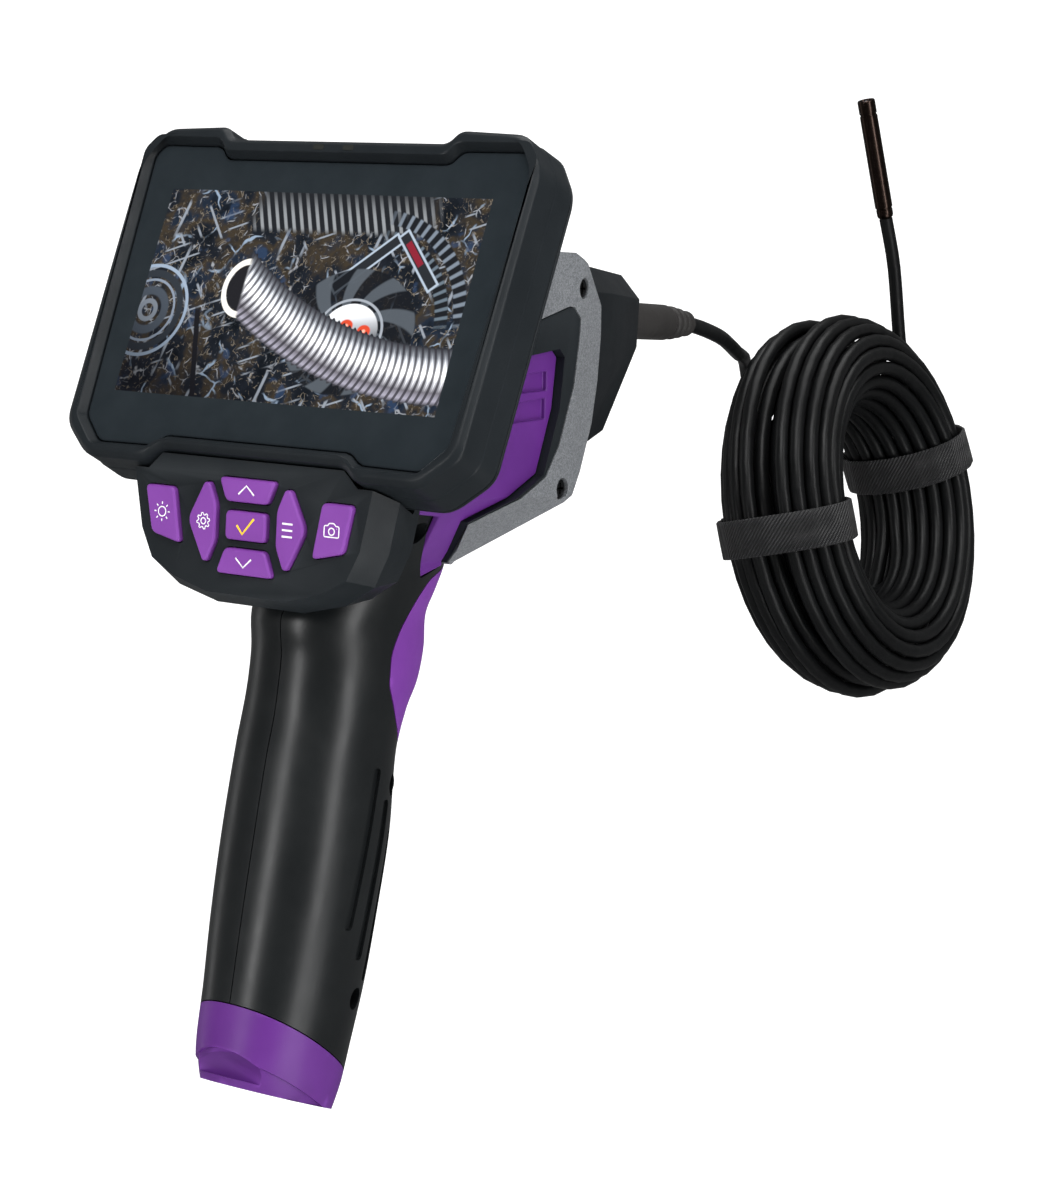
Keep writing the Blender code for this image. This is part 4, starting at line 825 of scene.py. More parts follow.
glass_loops = [glass_loop(-0.25, -1.0), glass_loop(0.0, -0.75), glass_loop(0.0, 0.22), glass_loop(-0.10, 0.40),
               glass_loop(-0.30, 0.49), glass_loop(-0.6, 0.5)]
glass = finish_piece("display_glass", drawn_out(glass_loops), screen_finish(), VIEWER, ["display_window"], ON_SCREEN)
print("picture nodes:", len(glass.data.materials[0].node_tree.nodes))

# %% [markdown]
# ## The pistol grip
# The grip is two moulded halves on a parting plane, a soft front grip let into them, and a battery cap. All four
# share one skin: rounded cross-sections at set heights, with smooth values between them. A half is a shell, drawn up
# level by level. The openings are then cut with simple solids, as the tool's mould would leave them.

# %% Skin of the grip
GRIP_HALF_WIDTH = 18.0
HANDLE_WALL = 4.6
SOFT_GRIP_THICKNESS = 2.4
GAP = 0.3
ROUNDNESS = 2.25
SECTIONS = [
    # height, middle, rear depth, front depth, half width share, front roundness
    (-206, 3.5, 13.6, 12.6, 0.72, 2.25), (-194, 4.2, 19.0, 17.5, 0.86, 2.25), (-184, 4.6, 21.2, 19.8, 0.93, 2.25),
    (-168, 7.6, 21.5, 21.0, 0.99, 2.25), (-150, 10.2, 21.4, 21.6, 1.04, 2.25), (-131, 13.0, 21.0, 22.0, 1.06, 2.25),
    (-110, 15.8, 20.0, 20.8, 1.03, 2.2), (-100, 18.4, 20.2, 24.0, 1.03, 2.0), (-94, 20.4, 21.4, 29.0, 1.03, 1.8),
    (-86, 21.6, 21.8, 30.0, 1.04, 1.8), (-77, 22.3, 23.4, 29.0, 1.05, 1.8), (-71, 24.6, 22.6, 29.0, 1.08, 1.9),
    (-66, 26.0, 23.0, 29.0, 1.12, 2.0), (-62, 26.5, 23.4, 27.0, 1.2, 2.1), (-54, 26.5, 23.4, 24.0, 1.46, 2.25),
    (-44, 26.5, 23.4, 22.0, 1.85, 2.25)]


def section_at(height):
    """The grip's section at any height, on a smooth curve through the listed ones."""
    rows = SECTIONS
    index = 0
    while index < len(rows) - 2 and rows[index + 1][0] < height:
        index += 1
    before = rows[max(index - 1, 0)]
    low, high = rows[index], rows[index + 1]
    after = rows[min(index + 2, len(rows) - 1)]
    reach = high[0] - low[0]
    part = (height - low[0]) / reach
    values = [height]
    for axis in range(1, 6):
        leave = (high[axis] - before[axis]) / (high[0] - before[0]) * reach
        arrive = (after[axis] - low[axis]) / (after[0] - low[0]) * reach
        square, cube = part * part, part ** 3
        values.append(low[axis] * (2 * cube - 3 * square + 1) + leave * (cube - 2 * square + part)
                      + high[axis] * (3 * square - 2 * cube) + arrive * (cube - square))
    return values


def skin_point(section, inset, turn):
    """A point of the skin: turn 0 is the front, a quarter turn the right side."""
    height, middle, rear, front, share, front_roundness = section
    half = GRIP_HALF_WIDTH * share - inset
    sine, cosine = math.sin(turn), math.cos(turn)
    deep = (front if cosine > 0 else rear) - inset
    power = 2 / (front_roundness if cosine > 0 else ROUNDNESS)
    return (half * math.copysign(abs(sine) ** power, sine), middle + deep * math.copysign(abs(cosine) ** power, cosine),
            height)


def heights_between(low, high, step):
    count = max(1, round((high - low) / step))
    return [low + (high - low) * index / count for index in range(count + 1)]


def skin_solid(inset, low, high, count=96, step=2.0):
    return drawn_out([[skin_point(section_at(height), inset, 2 * math.pi * index / count) for index in range(count)]
                      for height in heights_between(low, high, step)])


def half_shell(side, low, high, count=56):
    loops = []
    for height in heights_between(low, high, 2.0):
        section = section_at(height)
        turns = [math.pi * index / count for index in range(count + 1)]
        outer = [skin_point(section, 0, turn) for turn in turns]
        inner = [skin_point(section, HANDLE_WALL, turn) for turn in reversed(turns)]
        loops.append([(side * max(0.15, x), y, z) for x, y, z in outer + inner])
    return drawn_out(loops)


# %% Cutting helpers
CUTTERS = []


def tool(data):
    """A helper solid, in millimetres from the middle of the display, that only cuts or joins; all are deleted later."""
    bmesh.ops.recalc_face_normals(data, faces=data.faces)
    mesh = bpy.data.meshes.new("cutting_tool")
    data.to_mesh(mesh)
    data.free()
    made = bpy.data.objects.new("cutting_tool", mesh)
    bpy.context.scene.collection.objects.link(made)
    CUTTERS.append(made)
    return made


def carved(data, *steps):
    """The solid after each (kind, tool) Boolean step, as a new bmesh; the tools stay for other pieces."""
    base = tool(data)
    for kind, other in steps:
        cut = base.modifiers.new("Cut", "BOOLEAN")
        cut.operation = kind
        cut.solver = "EXACT"
        cut.object = other
    graph = bpy.context.evaluated_depsgraph_get()
    shaped = base.evaluated_get(graph).to_mesh()
    result = bmesh.new()
    result.from_mesh(shaped)
    base.evaluated_get(graph).to_mesh_clear()
    bmesh.ops.remove_doubles(result, verts=result.verts, dist=1e-4)
    return result


def slab(axis, outline, low, high):
    """An outline carried straight along X or Y."""
    order = {"X": lambda a, b, level: (level, a, b), "Y": lambda a, b, level: (a, level, b)}[axis]
    return drawn_out([[order(a, b, level) for a, b in outline] for level in (low, high)])


def bar(radius, low, high, middle, segments=32):
    """A round bar along X, with its middle at (forward, up)."""
    circle = [(middle[0] + radius * math.cos(2 * math.pi * index / segments),
               middle[1] + radius * math.sin(2 * math.pi * index / segments)) for index in range(segments)]
    return slab("X", circle, low, high)


def narrowed(data):
    """Draws the head in toward the neck below and slightly toward the nose in front."""
    for level in (-46.0, -54.5, -63.0):
        bmesh.ops.bisect_plane(data, geom=data.verts[:] + data.edges[:] + data.faces[:], plane_co=(0, 0, level),
                               plane_no=(0, 0, 1))
    bmesh.ops.bisect_plane(data, geom=data.verts[:] + data.edges[:] + data.faces[:], plane_co=(0, 70, 0),
                           plane_no=(0, 1, 0))
    for vertex in data.verts:
        below = min(1.0, max(0.0, (-46.0 - vertex.co.z) / 17.0))
        ahead = min(1.0, max(0.0, (vertex.co.y - 70) / 15))
        vertex.co.x *= (1 - 0.42 * below) * (1 - 0.07 * ahead)
    return data


# %% Halves of the grip
HEAD_OUTLINE = [(-20, 14), (66, 15.4), (73, 13), (84, 2.6), (85, -5), (84.4, -17), (82, -28), (76, -40), (70, -48),
                (63, -51.6), (40, -63.8), (36.5, -63.2), (20, -49.6), (-20, -46.4)]
PANEL_OUTLINE = [(-20, -20.4), (61, -9.2), (63.4, -11), (62.4, -24), (56.6, -40.4), (31.2, -51.8), (36.6, -60.2),
                 (38, -64), (28.6, -66.4), (19.6, -50.2), (-20, -46.6)]
GRIP_OUTLINE = [(75, -57.2), (45.5, -64.6), (34.4, -67.4), (30, -71), (22.6, -79.3), (19.6, -85), (19.6, -93),
                (24, -102), (28.5, -108), (45, -113), (75, -113)]
SURROUND = rounded([(-5, -95.5), (5, -95.5), (5, -76.5), (-5, -76.5)], 4, 5)
HANDLE_SCREWS = [(18.8, -54.8, 14), (26.0, -118.6, 6), (14.0, -170.6, 6)]
CAP_SPLIT = Vector((0, -14, -169.4))
CAP_SLOPE = Vector((0, -0.68, -1)).normalized()

trigger_slot = tool(slab("Y", grown(SURROUND, GAP), 31, 70))
soft_core = tool(skin_solid(SOFT_GRIP_THICKNESS + GAP, -130, -45))
soft_space = tool(carved(slab("X", rounded(grown(GRIP_OUTLINE, GAP), 2.0, 3), -60, 60), ("DIFFERENCE", soft_core)))
head_space = tool(narrowed(slab("X", grown(HEAD_OUTLINE, GAP), -44.5, 44.5)))
housing_space = drawn_out([flat_loop(grown(RIM, 1.2), -15.6), flat_loop(grown(RIM, 1.2), -12.0),
                           flat_loop(grown(RIM, GAP), 9.0)])
bmesh.ops.transform(housing_space, matrix=Matrix.Rotation(math.pi / 2 - DISPLAY_TILT, 4, "X"),
                    verts=housing_space.verts)
housing_space = tool(housing_space)
for side, label in ((-1, "left"), (1, "right")):
    shell = half_shell(side, -200, -46.5)
    cut = bmesh.ops.bisect_plane(shell, geom=shell.verts[:] + shell.edges[:] + shell.faces[:], plane_co=CAP_SPLIT,
                                 plane_no=CAP_SLOPE, clear_outer=True)["geom_cut"]
    bmesh.ops.holes_fill(shell, edges=[item for item in cut if isinstance(item, bmesh.types.BMEdge)], sides=0)
    panel_space = tool(narrowed(slab("X", grown(PANEL_OUTLINE, GAP), side * 31.6, side * 63.2)))
    steps = [("DIFFERENCE", trigger_slot), ("DIFFERENCE", soft_space), ("DIFFERENCE", head_space),
             ("DIFFERENCE", panel_space), ("DIFFERENCE", housing_space)]
    steps += [("UNION", tool(bar(3.8, side * 0.15, side * (seat + 8.4), (y, z)))) for y, z, seat in HANDLE_SCREWS]
    for y, z, seat in HANDLE_SCREWS:
        if side > 0:
            steps.append(("DIFFERENCE", tool(bar(2.8, seat, 40, (y, z)))))
        steps.append(("DIFFERENCE", tool(bar(1.6, -10, seat + 1, (y, z), 16))))
    for (top_y, top_z), (low_y, low_z), depth in (((16.5, -113.0), (7.2, -152.0), 0.9), ((21.5, -121.5), (12.8, -160.5), 0.9),
                                                  ((26.0, -130.0), (18.0, -167.0), 0.9)):
        lean = Vector((low_y - top_y, low_z - top_z)).normalized()
        wide = Vector((-lean.y, lean.x)) * 1.5
        corners = [(top_y - wide.x, top_z - wide.y), (top_y + wide.x, top_z + wide.y),
                   (low_y + wide.x, low_z + wide.y), (low_y - wide.x, low_z - wide.y)]
        reach = [side * 13.0, side * 24.0]
        groove = tool(slab("X", rounded(corners, 1.3, 4), *reach))
        core = tool(skin_solid(depth, -180, -100, 72, 4.0))
        steps.append(("DIFFERENCE", tool(carved(slab("X", rounded(corners, 1.3, 4), *reach), ("DIFFERENCE", core)))))
    half = finish_piece(f"grip_half_{label}", carved(shell, *steps), HANDLE_BLACK, VIEWER, [f"handle_{label}"],
                        HEAD @ IN_MM, sharp=30)
    print(half.name, "faces:", len(half.data.polygons))

# %% Soft front grip
grip_region = tool(slab("X", rounded(GRIP_OUTLINE, 2.0, 3), -60, 60))
front_core = tool(skin_solid(SOFT_GRIP_THICKNESS, -125, -45))
front_grip = finish_piece(
    "front_grip_soft", carved(skin_solid(-0.05, -118, -50, 112, 1.5), ("INTERSECT", grip_region), ("DIFFERENCE", front_core),
                              ("DIFFERENCE", trigger_slot)), PURPLE_SOFT, VIEWER, ["front_grip"], HEAD @ IN_MM,
    sharp=30)

# %% [markdown]
# The battery cap slides off the lower end. It carries a raised lip where it meets the grip, and a scooped thumb
# hold at the back, with an arched upper edge, for pushing it off.

# %% Battery cap
FOOT = Vector((0, 2, -195.4))
FOOT_SLOPE = Vector((0, -0.36, -1)).normalized()


def trimmed(data, place, slope):
    cut = bmesh.ops.bisect_plane(data, geom=data.verts[:] + data.edges[:] + data.faces[:], plane_co=place,
                                 plane_no=slope, clear_outer=True)["geom_cut"]
    bmesh.ops.holes_fill(data, edges=[item for item in cut if isinstance(item, bmesh.types.BMEdge)], sides=0)
    return data


cap = trimmed(trimmed(skin_solid(0, -206, -160, 112, 1.5), CAP_SPLIT + CAP_SLOPE * GAP, -CAP_SLOPE), FOOT, FOOT_SLOPE)
cap_pocket = tool(skin_solid(HANDLE_WALL, -184, -150, 48))
waist = trimmed(trimmed(skin_solid(-3.0, -206, -160, 112, 1.5), CAP_SPLIT + CAP_SLOPE * 11.5, -CAP_SLOPE), FOOT, FOOT_SLOPE)
cap_waist = tool(carved(waist, ("DIFFERENCE", tool(skin_solid(0.55, -215, -150, 112, 1.5)))))
scoop = drawn_out([[(14.0 * math.cos(2 * math.pi * i / 40) * size, level, -189.5 + 9.5 * math.sin(2 * math.pi * i / 40) * size)
                    for i in range(40)] for level, size in ((-40, 1.15), (-16.5, 1.0), (-13.4, 0.9), (-12.8, 0.8))])
cap_scoop = tool(trimmed(scoop, FOOT - FOOT_SLOPE * 1.8, FOOT_SLOPE))
battery_cap = finish_piece("battery_cap_shell", carved(cap, ("DIFFERENCE", cap_pocket), ("DIFFERENCE", cap_waist),
                                                       ("DIFFERENCE", cap_scoop)),
                           PURPLE, "battery_cap", ["battery_cap"], HEAD @ IN_MM, sharp=30)
cap_edge = battery_cap.modifiers.new("Soft edge", "BEVEL")
cap_edge.width = 0.35 * MM
cap_edge.segments = 2
cap_edge.limit_method = "ANGLE"
cap_edge.angle_limit = math.radians(30)
print("cap faces:", len(battery_cap.data.polygons))

# %% [markdown]
# ## Keys and their signs
# Seven purple keys stand a little proud of the keypad. Each is drawn from its outline down a soft shoulder to a
# straight side and a hidden flange. The signs are thin printed strokes: each stroke is a fine round
# wire, made a mesh and pressed almost flat on the key's face.

# %% Keys
KEY_FACE = -16.8
KEYS = {
    "key_up": mirrored([(6.2, -48.4), (8.4, -42.8)]),
    "key_ok": mirrored([(6.0, -57.4), (6.0, -50.5)]),
    "key_down": mirrored([(8.4, -65.6), (6.0, -59.4)]),
    "key_mode": [(9.0, -58.0), (11.3, -63.2), (12.6, -63.2), (17.0, -54.6), (17.0, -52.6), (12.8, -44.4),
                 (11.2, -44.4), (9.0, -49.4)],
    "key_photo": [(19.6, -59.8), (28.4, -57.8), (30.8, -46.4), (22.0, -46.4)],
}
KEYS["key_settings"] = [(-x, z) for x, z in reversed(KEYS["key_mode"])]
KEYS["key_light"] = [(-x, z) for x, z in reversed(KEYS["key_photo"])]
KEY_EDGE = [(0.6, -12.3), (0.6, -12.85), (0.0, -12.9), (0.0, -16.15), (-0.05, -16.38), (-0.16, -16.57), (-0.33, -16.71),
            (-0.58, -16.80)]
for name, corners in KEYS.items():
    loops = [[(x, level, z) for x, z in rounded(grown(corners, distance), 1.35, 6)]
             for distance, level in KEY_EDGE]
    key = finish_piece(name + "_cap", drawn_out(loops), PURPLE_KEY, name, [name], HEAD @ IN_MM)
print("keys:", len(KEYS))


# %% Signs on the keys
def ink(name, colour):
    made, tree, shader = new_finish(name)
    space = own_space(tree)
    darker = tuple(part * 0.86 for part in colour)
    tree.links.new(ramp(tree, noise(tree, space, 900.0, 3.0), [(0.35, darker), (0.6, colour)]),
                   shader.inputs["Base Color"])
    tree.links.new(span(tree, noise(tree, space, 300.0), 0.3, 0.7, 0.42, 0.6), shader.inputs["Roughness"])
    bumps(tree, shader, [(noise(tree, space, 2500.0, 2.0), 0.000008)])
    return made


WHITE_INK = ink("white_sign_ink", (0.82, 0.80, 0.84))
YELLOW_INK = ink("yellow_sign_ink", (0.90, 0.56, 0.02))


def circle(middle, radius, count=28, squash=1.0):
    return [(middle[0] + radius * squash * math.cos(2 * math.pi * index / count),
             middle[1] + radius * math.sin(2 * math.pi * index / count)) for index in range(count)]


def sign(key_name, strokes, look, width=0.40):
    """Thin printed lines on a key: strokes is a list of (points, closed) about the key's middle."""
    corners = KEYS[key_name]
    middle_x = sum(x for x, z in corners) / len(corners)
    middle_z = sum(z for x, z in corners) / len(corners)
    curve = bpy.data.curves.new(key_name + "_sign", "CURVE")
    curve.dimensions = "3D"
    curve.bevel_depth = width / 2
    curve.bevel_resolution = 2
    curve.use_fill_caps = True
    for points, closed in strokes:
        line = curve.splines.new("POLY")
        line.points.add(len(points) - 1)
        line.use_cyclic_u = closed
        for spot, (x, z) in zip(line.points, points):
            spot.co = (x, 0.0, z, 1.0)
    holder = bpy.data.objects.new("sign_wire", curve)
    bpy.context.scene.collection.objects.link(holder)
    pressed = bmesh.new()
    mesh = bpy.data.meshes.new_from_object(holder.evaluated_get(bpy.context.evaluated_depsgraph_get()))
    pressed.from_mesh(mesh)
    bpy.data.objects.remove(holder, do_unlink=True)
    bpy.data.meshes.remove(mesh)
    bmesh.ops.remove_doubles(pressed, verts=pressed.verts, dist=1e-5)
    flat = HEAD @ IN_MM @ Matrix.Translation((middle_x, KEY_FACE - 0.015, middle_z)) @ Matrix.Diagonal((1, 0.22, 1, 1))
    return finish_piece(key_name + "_sign", pressed, look, key_name, place=flat, sharp=60, weighted=False)


rays = [([(1.75 * math.cos(a), 1.75 * math.sin(a)), (2.35 * math.cos(a), 2.35 * math.sin(a))], False)
        for a in (math.pi * index / 4 for index in range(8))]
gear = []
for index in range(32):
    turn = 2 * math.pi * (index + 0.5) / 32
    reach = 1.95 if index % 4 in (0, 1) else 1.45
    gear.append((reach * math.cos(turn), reach * math.sin(turn)))
sign("key_light", [(circle((0, 0), 1.15), True)] + rays, WHITE_INK, 0.30)
sign("key_settings", [(gear, True), (circle((0, 0), 0.72), True)], WHITE_INK, 0.30)
sign("key_up", [([(-2.3, -0.9), (0, 1.2), (2.3, -0.9)], False)], WHITE_INK, 0.42)
sign("key_down", [([(-2.3, 0.9), (0, -1.2), (2.3, 0.9)], False)], WHITE_INK, 0.42)
sign("key_mode", [([(-1.5, level), (1.5, level)], False) for level in (-1.5, 0, 1.5)], WHITE_INK, 0.46)
sign("key_ok", [([(-2.4, 0.1), (-0.7, -1.9), (2.6, 2.0)], False)], YELLOW_INK, 0.62)
body_line = rounded([(-2.1, -1.5), (2.1, -1.5), (2.1, 1.1), (1.1, 1.1), (0.75, 1.7), (-0.75, 1.7), (-1.1, 1.1),
                     (-2.1, 1.1)], 0.4, 3)
sign("key_photo", [(body_line, True), (circle((0, -0.2), 0.82), True), ([(1.45, 0.55), (1.5, 0.55)], False)],
     WHITE_INK, 0.30)

# %% [markdown]
# ## Plug, sleeve and camera head
# Round parts are spun from a profile. The plug's turning ring has fine ribs for the fingers. The rubber sleeve
# behind it is stepped and tapers to the cable. The camera head is a polished dark tube with two grooves and a
# small glass window.

# %% Round parts
def spun(profile, steps=64):
    """A solid spun about Z from a list of (radius, height)."""
    data = bmesh.new()
    row = [data.verts.new((radius, 0, height)) for radius, height in profile]
    edges = [data.edges.new(pair) for pair in zip(row, row[1:])]
    if all(radius > 1e-9 for radius, height in profile):
        edges.append(data.edges.new((row[-1], row[0])))
    bmesh.ops.spin(data, geom=row + edges, cent=(0, 0, 0), axis=(0, 0, 1), angle=2 * math.pi, steps=steps,
                   use_merge=True)
    bmesh.ops.remove_doubles(data, verts=data.verts, dist=1e-5)
    return data


PLUG = HEAD @ IN_MM @ Matrix.Translation((0, 126, -1)) @ Matrix.Rotation(-math.pi / 2, 4, "X")
ring = spun([(6.3, 1.0), (7.7, 1.0), (8.2, 1.15), (8.5, 1.5), (8.6, 2.0), (8.6, 3.2), (8.6, 3.6), (8.6, 9.2), (8.6, 9.8),
             (8.55, 10.4), (8.3, 10.8), (7.9, 11.0), (6.3, 11.0)], 144)
for vertex in ring.verts:
    if 3.4 < vertex.co.z < 9.5 and vertex.co.xy.length > 8.5:
        turn = math.atan2(vertex.co.y, vertex.co.x)
        vertex.co.xy *= 1 - 0.055 * max(0.0, math.cos(24 * turn))
finish_piece("plug_ring", ring, NOSE_BLACK, "lock_ring", ["lock_ring"], PLUG)
SLEEVE_LENGTH = 66.5
sleeve_steps = [(0, 5.3), (4.9, 5.3), (5.25, 5.5), (5.4, 5.9)]
for radius, start, end in ((5.4, 6.4, 51.8), (4.5, 53.4, 54.6), (4.95, 55.2, 56.8), (4.1, 57.6, 58.6), (4.5, 59.2, 60.8),
                           (3.5, 61.6, 62.6), (3.85, 63.2, 66.0)):
    sleeve_steps += [(radius - 0.12, start), (radius, start + 0.25), (radius * (1 - 0.0006 * (end - start)), end - 0.25),
                     (radius - 0.15, end)]
sleeve_steps += [(3.3, 66.4), (2.7, SLEEVE_LENGTH), (0, SLEEVE_LENGTH)]
finish_piece("plug_sleeve", spun(sleeve_steps), SLEEVE_RUBBER, VIEWER, ["strain_relief"], PLUG)
finish_piece("plug_socket", spun([(0, -14), (4.8, -14), (5, -13.8), (5, -5), (7.4, -5), (7.4, -2.7), (6, -2.7), (6, 4.6),
                                  (5.7, 5), (0, 5)]), BRIGHT_METAL, VIEWER, ["cable_socket"], PLUG)

CAMERA = HEAD @ IN_MM @ Matrix.Translation(CAMERA_BASE) @ CAMERA_DIRECTION.to_track_quat("Z", "X").to_matrix().to_4x4()
camera_profile = [(0, 0), (2.1, 0), (2.5, 0.25), (2.75, 0.8), (2.8, 1.4), (2.8, 3.0), (2.62, 3.15), (2.62, 3.45), (2.95, 3.7),
                  (3.0, 4.0), (3.0, 35.4), (2.95, 35.6), (2.72, 35.75), (2.72, 36.25), (2.95, 36.4), (3.0, 36.7),
                  (3.0, 40.4), (2.95, 40.7), (2.75, 41.0), (2.45, 41.0), (2.4, 40.9), (2.4, 39.6), (0, 39.6)]
camera_tube = finish_piece("camera_tube", spun(camera_profile, 72), DARK_METAL, VIEWER, ["camera_head"], CAMERA)
lens_look, lens_tree, lens_shader = new_finish("camera_window_glass")
lens_space = own_space(lens_tree)
lens_tree.links.new(ramp(lens_tree, noise(lens_tree, lens_space, 500.0), [(0.4, (0.004, 0.004, 0.008)),
                                                                         (0.6, (0.012, 0.008, 0.020))]),
                    lens_shader.inputs["Base Color"])
set_socket(lens_shader, {"Roughness": 0.05, "Coat Weight": 0.6, "Coat Roughness": 0.03})
lens = finish_piece("camera_window", spun([(0, 39.9), (2.1, 39.9), (2.1, 40.35), (2.0, 40.5), (1.6, 40.56), (1.1, 40.6),
                                           (1.0, 40.45), (0.6, 40.42), (0, 40.4)], 48), lens_look, VIEWER,
                    ["camera_lens"], CAMERA)

# %% [markdown]
# ## Hook-and-loop ties
# Two woven straps hold the coil. Each goes once round the bundle and laps over itself, so its path is an oval
# spiral a little longer than one turn, with a thin flat section. Two numbers are kept at every point of
# the strap, how far along and how far across it is, and the weave is drawn from them.

# %% Strap weave
def weave_finish():
    made, tree, shader = new_finish("strap_twill_weave")
    along = Field(tree, add_node(tree, "ShaderNodeAttribute", attribute_name="along").outputs["Fac"])
    across = Field(tree, add_node(tree, "ShaderNodeAttribute", attribute_name="across").outputs["Fac"])
    twill = ((along + across * 0.9) * 4.6).sine() * 0.5 + 0.5
    threads = (across * 7.4).sine() * ((along - across * 0.9) * 4.6).sine() * 0.5 + 0.5
    height = twill * 0.65 + threads * 0.35
    selvage = across.size().step(4.9, 5.5)
    # The colour follows the weave's height. The twill is the strap's own pattern, but the low parts between the threads
    # are painted darker as shade and the high parts lighter.
    tone = ramp(tree, (height * 0.8 + selvage * 0.2).socket, [(0.1, (0.0012, 0.0012, 0.0014)), (0.9, (0.014, 0.014, 0.0155))])
    tree.links.new(tone, shader.inputs["Base Color"])
    tree.links.new(span(tree, height.socket, 0.0, 1.0, 0.58, 0.30), shader.inputs["Roughness"])
    set_socket(shader, {"Sheen Weight": 0.03, "Sheen Roughness": 0.4, "Specular IOR Level": 0.4})
    bumps(tree, shader, [(height.socket, 0.0005), (noise(tree, own_space(tree), 2600.0, 2.0), 0.00003)])
    return made


STRAP = weave_finish()
STRAP_HALF_WIDTH = 6.25


def strap(name, turn, node, start, end, flap):
    """A strap round the bundle at a turn of the coil, lapping over itself from start to end in degrees."""
    count = 150
    loops = []
    marks = []
    travelled = 0.0
    last = None
    edge = STRAP_HALF_WIDTH
    section = [(-edge + 0.35, -0.5), (-edge, -0.2), (-edge, 0.2), (-edge + 0.35, 0.5), (-2.0, 0.55), (2.0, 0.55),
               (edge - 0.35, 0.5), (edge, 0.2), (edge, -0.2), (edge - 0.35, -0.5), (2.0, -0.55), (-2.0, -0.55)]
    for index in range(count + 1):
        part = index / count
        angle = math.radians(start + (end - start) * part)
        lift = 1.45 + 1.25 * ease((part - 0.72) / 0.12) + 0.14 * math.sin(17 * angle) + flap * ease((part - 0.965) / 0.035)
        out, side = (16.5 + lift) * math.cos(angle), (21.0 + lift) * math.sin(angle)
        slope = Vector((math.cos(angle) / (16.5 + lift), math.sin(angle) / (21.0 + lift))).normalized()
        if last is not None:
            travelled += math.hypot(out - last[0], side - last[1])
        last = (out, side)
        marks.append(travelled)
        drift = 0.25 * math.sin(2.3 * angle + turn)
        loops.append([(out + slope.x * thick, wide + drift, side + slope.y * thick) for wide, thick in section])
    data = drawn_out(loops)
    place = (Matrix.Translation(COIL_MIDDLE) @ Matrix((COIL_ALONG, COIL_UP, COIL_NORMAL)).transposed().to_4x4()
             @ Matrix.Rotation(math.radians(turn), 4, "Z") @ Matrix.Translation((COIL_RADIUS, 0, 0)))
    along = data.verts.layers.float.new("along")
    across = data.verts.layers.float.new("across")
    nearest = [Vector(((loop[3][0] + loop[8][0]) / 2, 0, (loop[3][2] + loop[8][2]) / 2)) for loop in loops]
    for vertex in data.verts:
        flat = Vector((vertex.co.x, 0, vertex.co.z))
        closest = min(range(len(nearest)), key=lambda index: (nearest[index] - flat).length_squared)
        vertex[along] = marks[closest]
        vertex[across] = vertex.co.y
    made = finish_piece(name, data, STRAP, VIEWER, [node], HEAD @ IN_MM @ place, sharp=50, weighted=False)
    return made


tie_left = strap("coil_strap_left", 187, "cable_tie_left", -150, 262, 0.9)
tie_right = strap("coil_strap_right", 18, "cable_tie_right", -60, 352, 0.8)
print("strap faces:", len(tie_left.data.polygons))

# %% [markdown]
# ## Screws, trigger and indicators
# The screws sit deep in their holes, with a cross recess in the head. The trigger's button is a domed yellow
# cap in its black surround, and the two indicator windows are small smoked lenses.

# %% Screws
def screw(name, node, middle, side, shank, seat, top):
    profile = [(0, shank), (1.1, shank), (1.3, shank + 0.3), (1.3, seat), (2.4, seat), (2.5, seat + 0.15), (2.5, top - 0.35),
               (2.35, top - 0.1), (1.8, top), (0, top)]
    turned = Matrix.Translation((0, middle[0], middle[1])) @ Matrix.Rotation(side * math.pi / 2, 4, "Y")
    solid = spun(profile, 40)
    slots = []
    for size in ((0.62, 2.9, 2.4), (2.9, 0.62, 2.4)):
        cross = bmesh.new()
        bmesh.ops.create_cube(cross, size=1.0, matrix=Matrix.Translation((0, 0, top)) @ Matrix.Diagonal((*size, 1.0)))
        slots.append(("DIFFERENCE", tool(cross)))
    return finish_piece(name, carved(solid, *slots), SCREW_BLACK, VIEWER, [node], HEAD @ IN_MM @ turned)


for side, label in ((-1, "left"), (1, "right")):
    for number, (y, z) in enumerate(((71.5, 6.6), (66.0, -44.2))):
        surface = 36.5 * (1 - 0.07 * min(1.0, max(0.0, (y - 70) / 15)))
        screw(f"cowl_fastener_{label}_{number + 1}", f"cowl_screw_{label}_{number + 1}", (y, z), side,
              surface - 8.7, surface - 2.2, surface - 0.7)
for number, (y, z, seat) in enumerate(HANDLE_SCREWS):
    screw(f"grip_fastener_{number + 1}", f"handle_screw_{number + 1}", (y, z), 1, -9.4, seat + 0.3, seat + 2.8)

# %% Trigger, indicators and the parts inside
YELLOW = plastic("yellow_trigger", (0.72, 0.52, 0.02), (0.80, 0.60, 0.03), 0.38, 0.05, 2400.0, 0.00001, shine=0.3)
TRIGGER = HEAD @ IN_MM @ Matrix.Translation((0, 53, -86)) @ Matrix.Rotation(-math.pi / 2, 4, "X")
finish_piece("trigger_cap", spun([(0, -8), (2.9, -8), (3.0, -7.9), (3.0, -0.9), (2.92, -0.55), (2.7, -0.25), (2.3, -0.08),
                                  (1.5, 0), (0, 0.02)], 48), YELLOW, "trigger", ["trigger_button"], TRIGGER)


def assign(node, look):
    """Gives a CAD node a finish through its material slots."""
    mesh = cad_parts[node].data
    if not mesh.materials:
        mesh.materials.append(look)
    for index in range(len(mesh.materials)):
        mesh.materials[index] = look


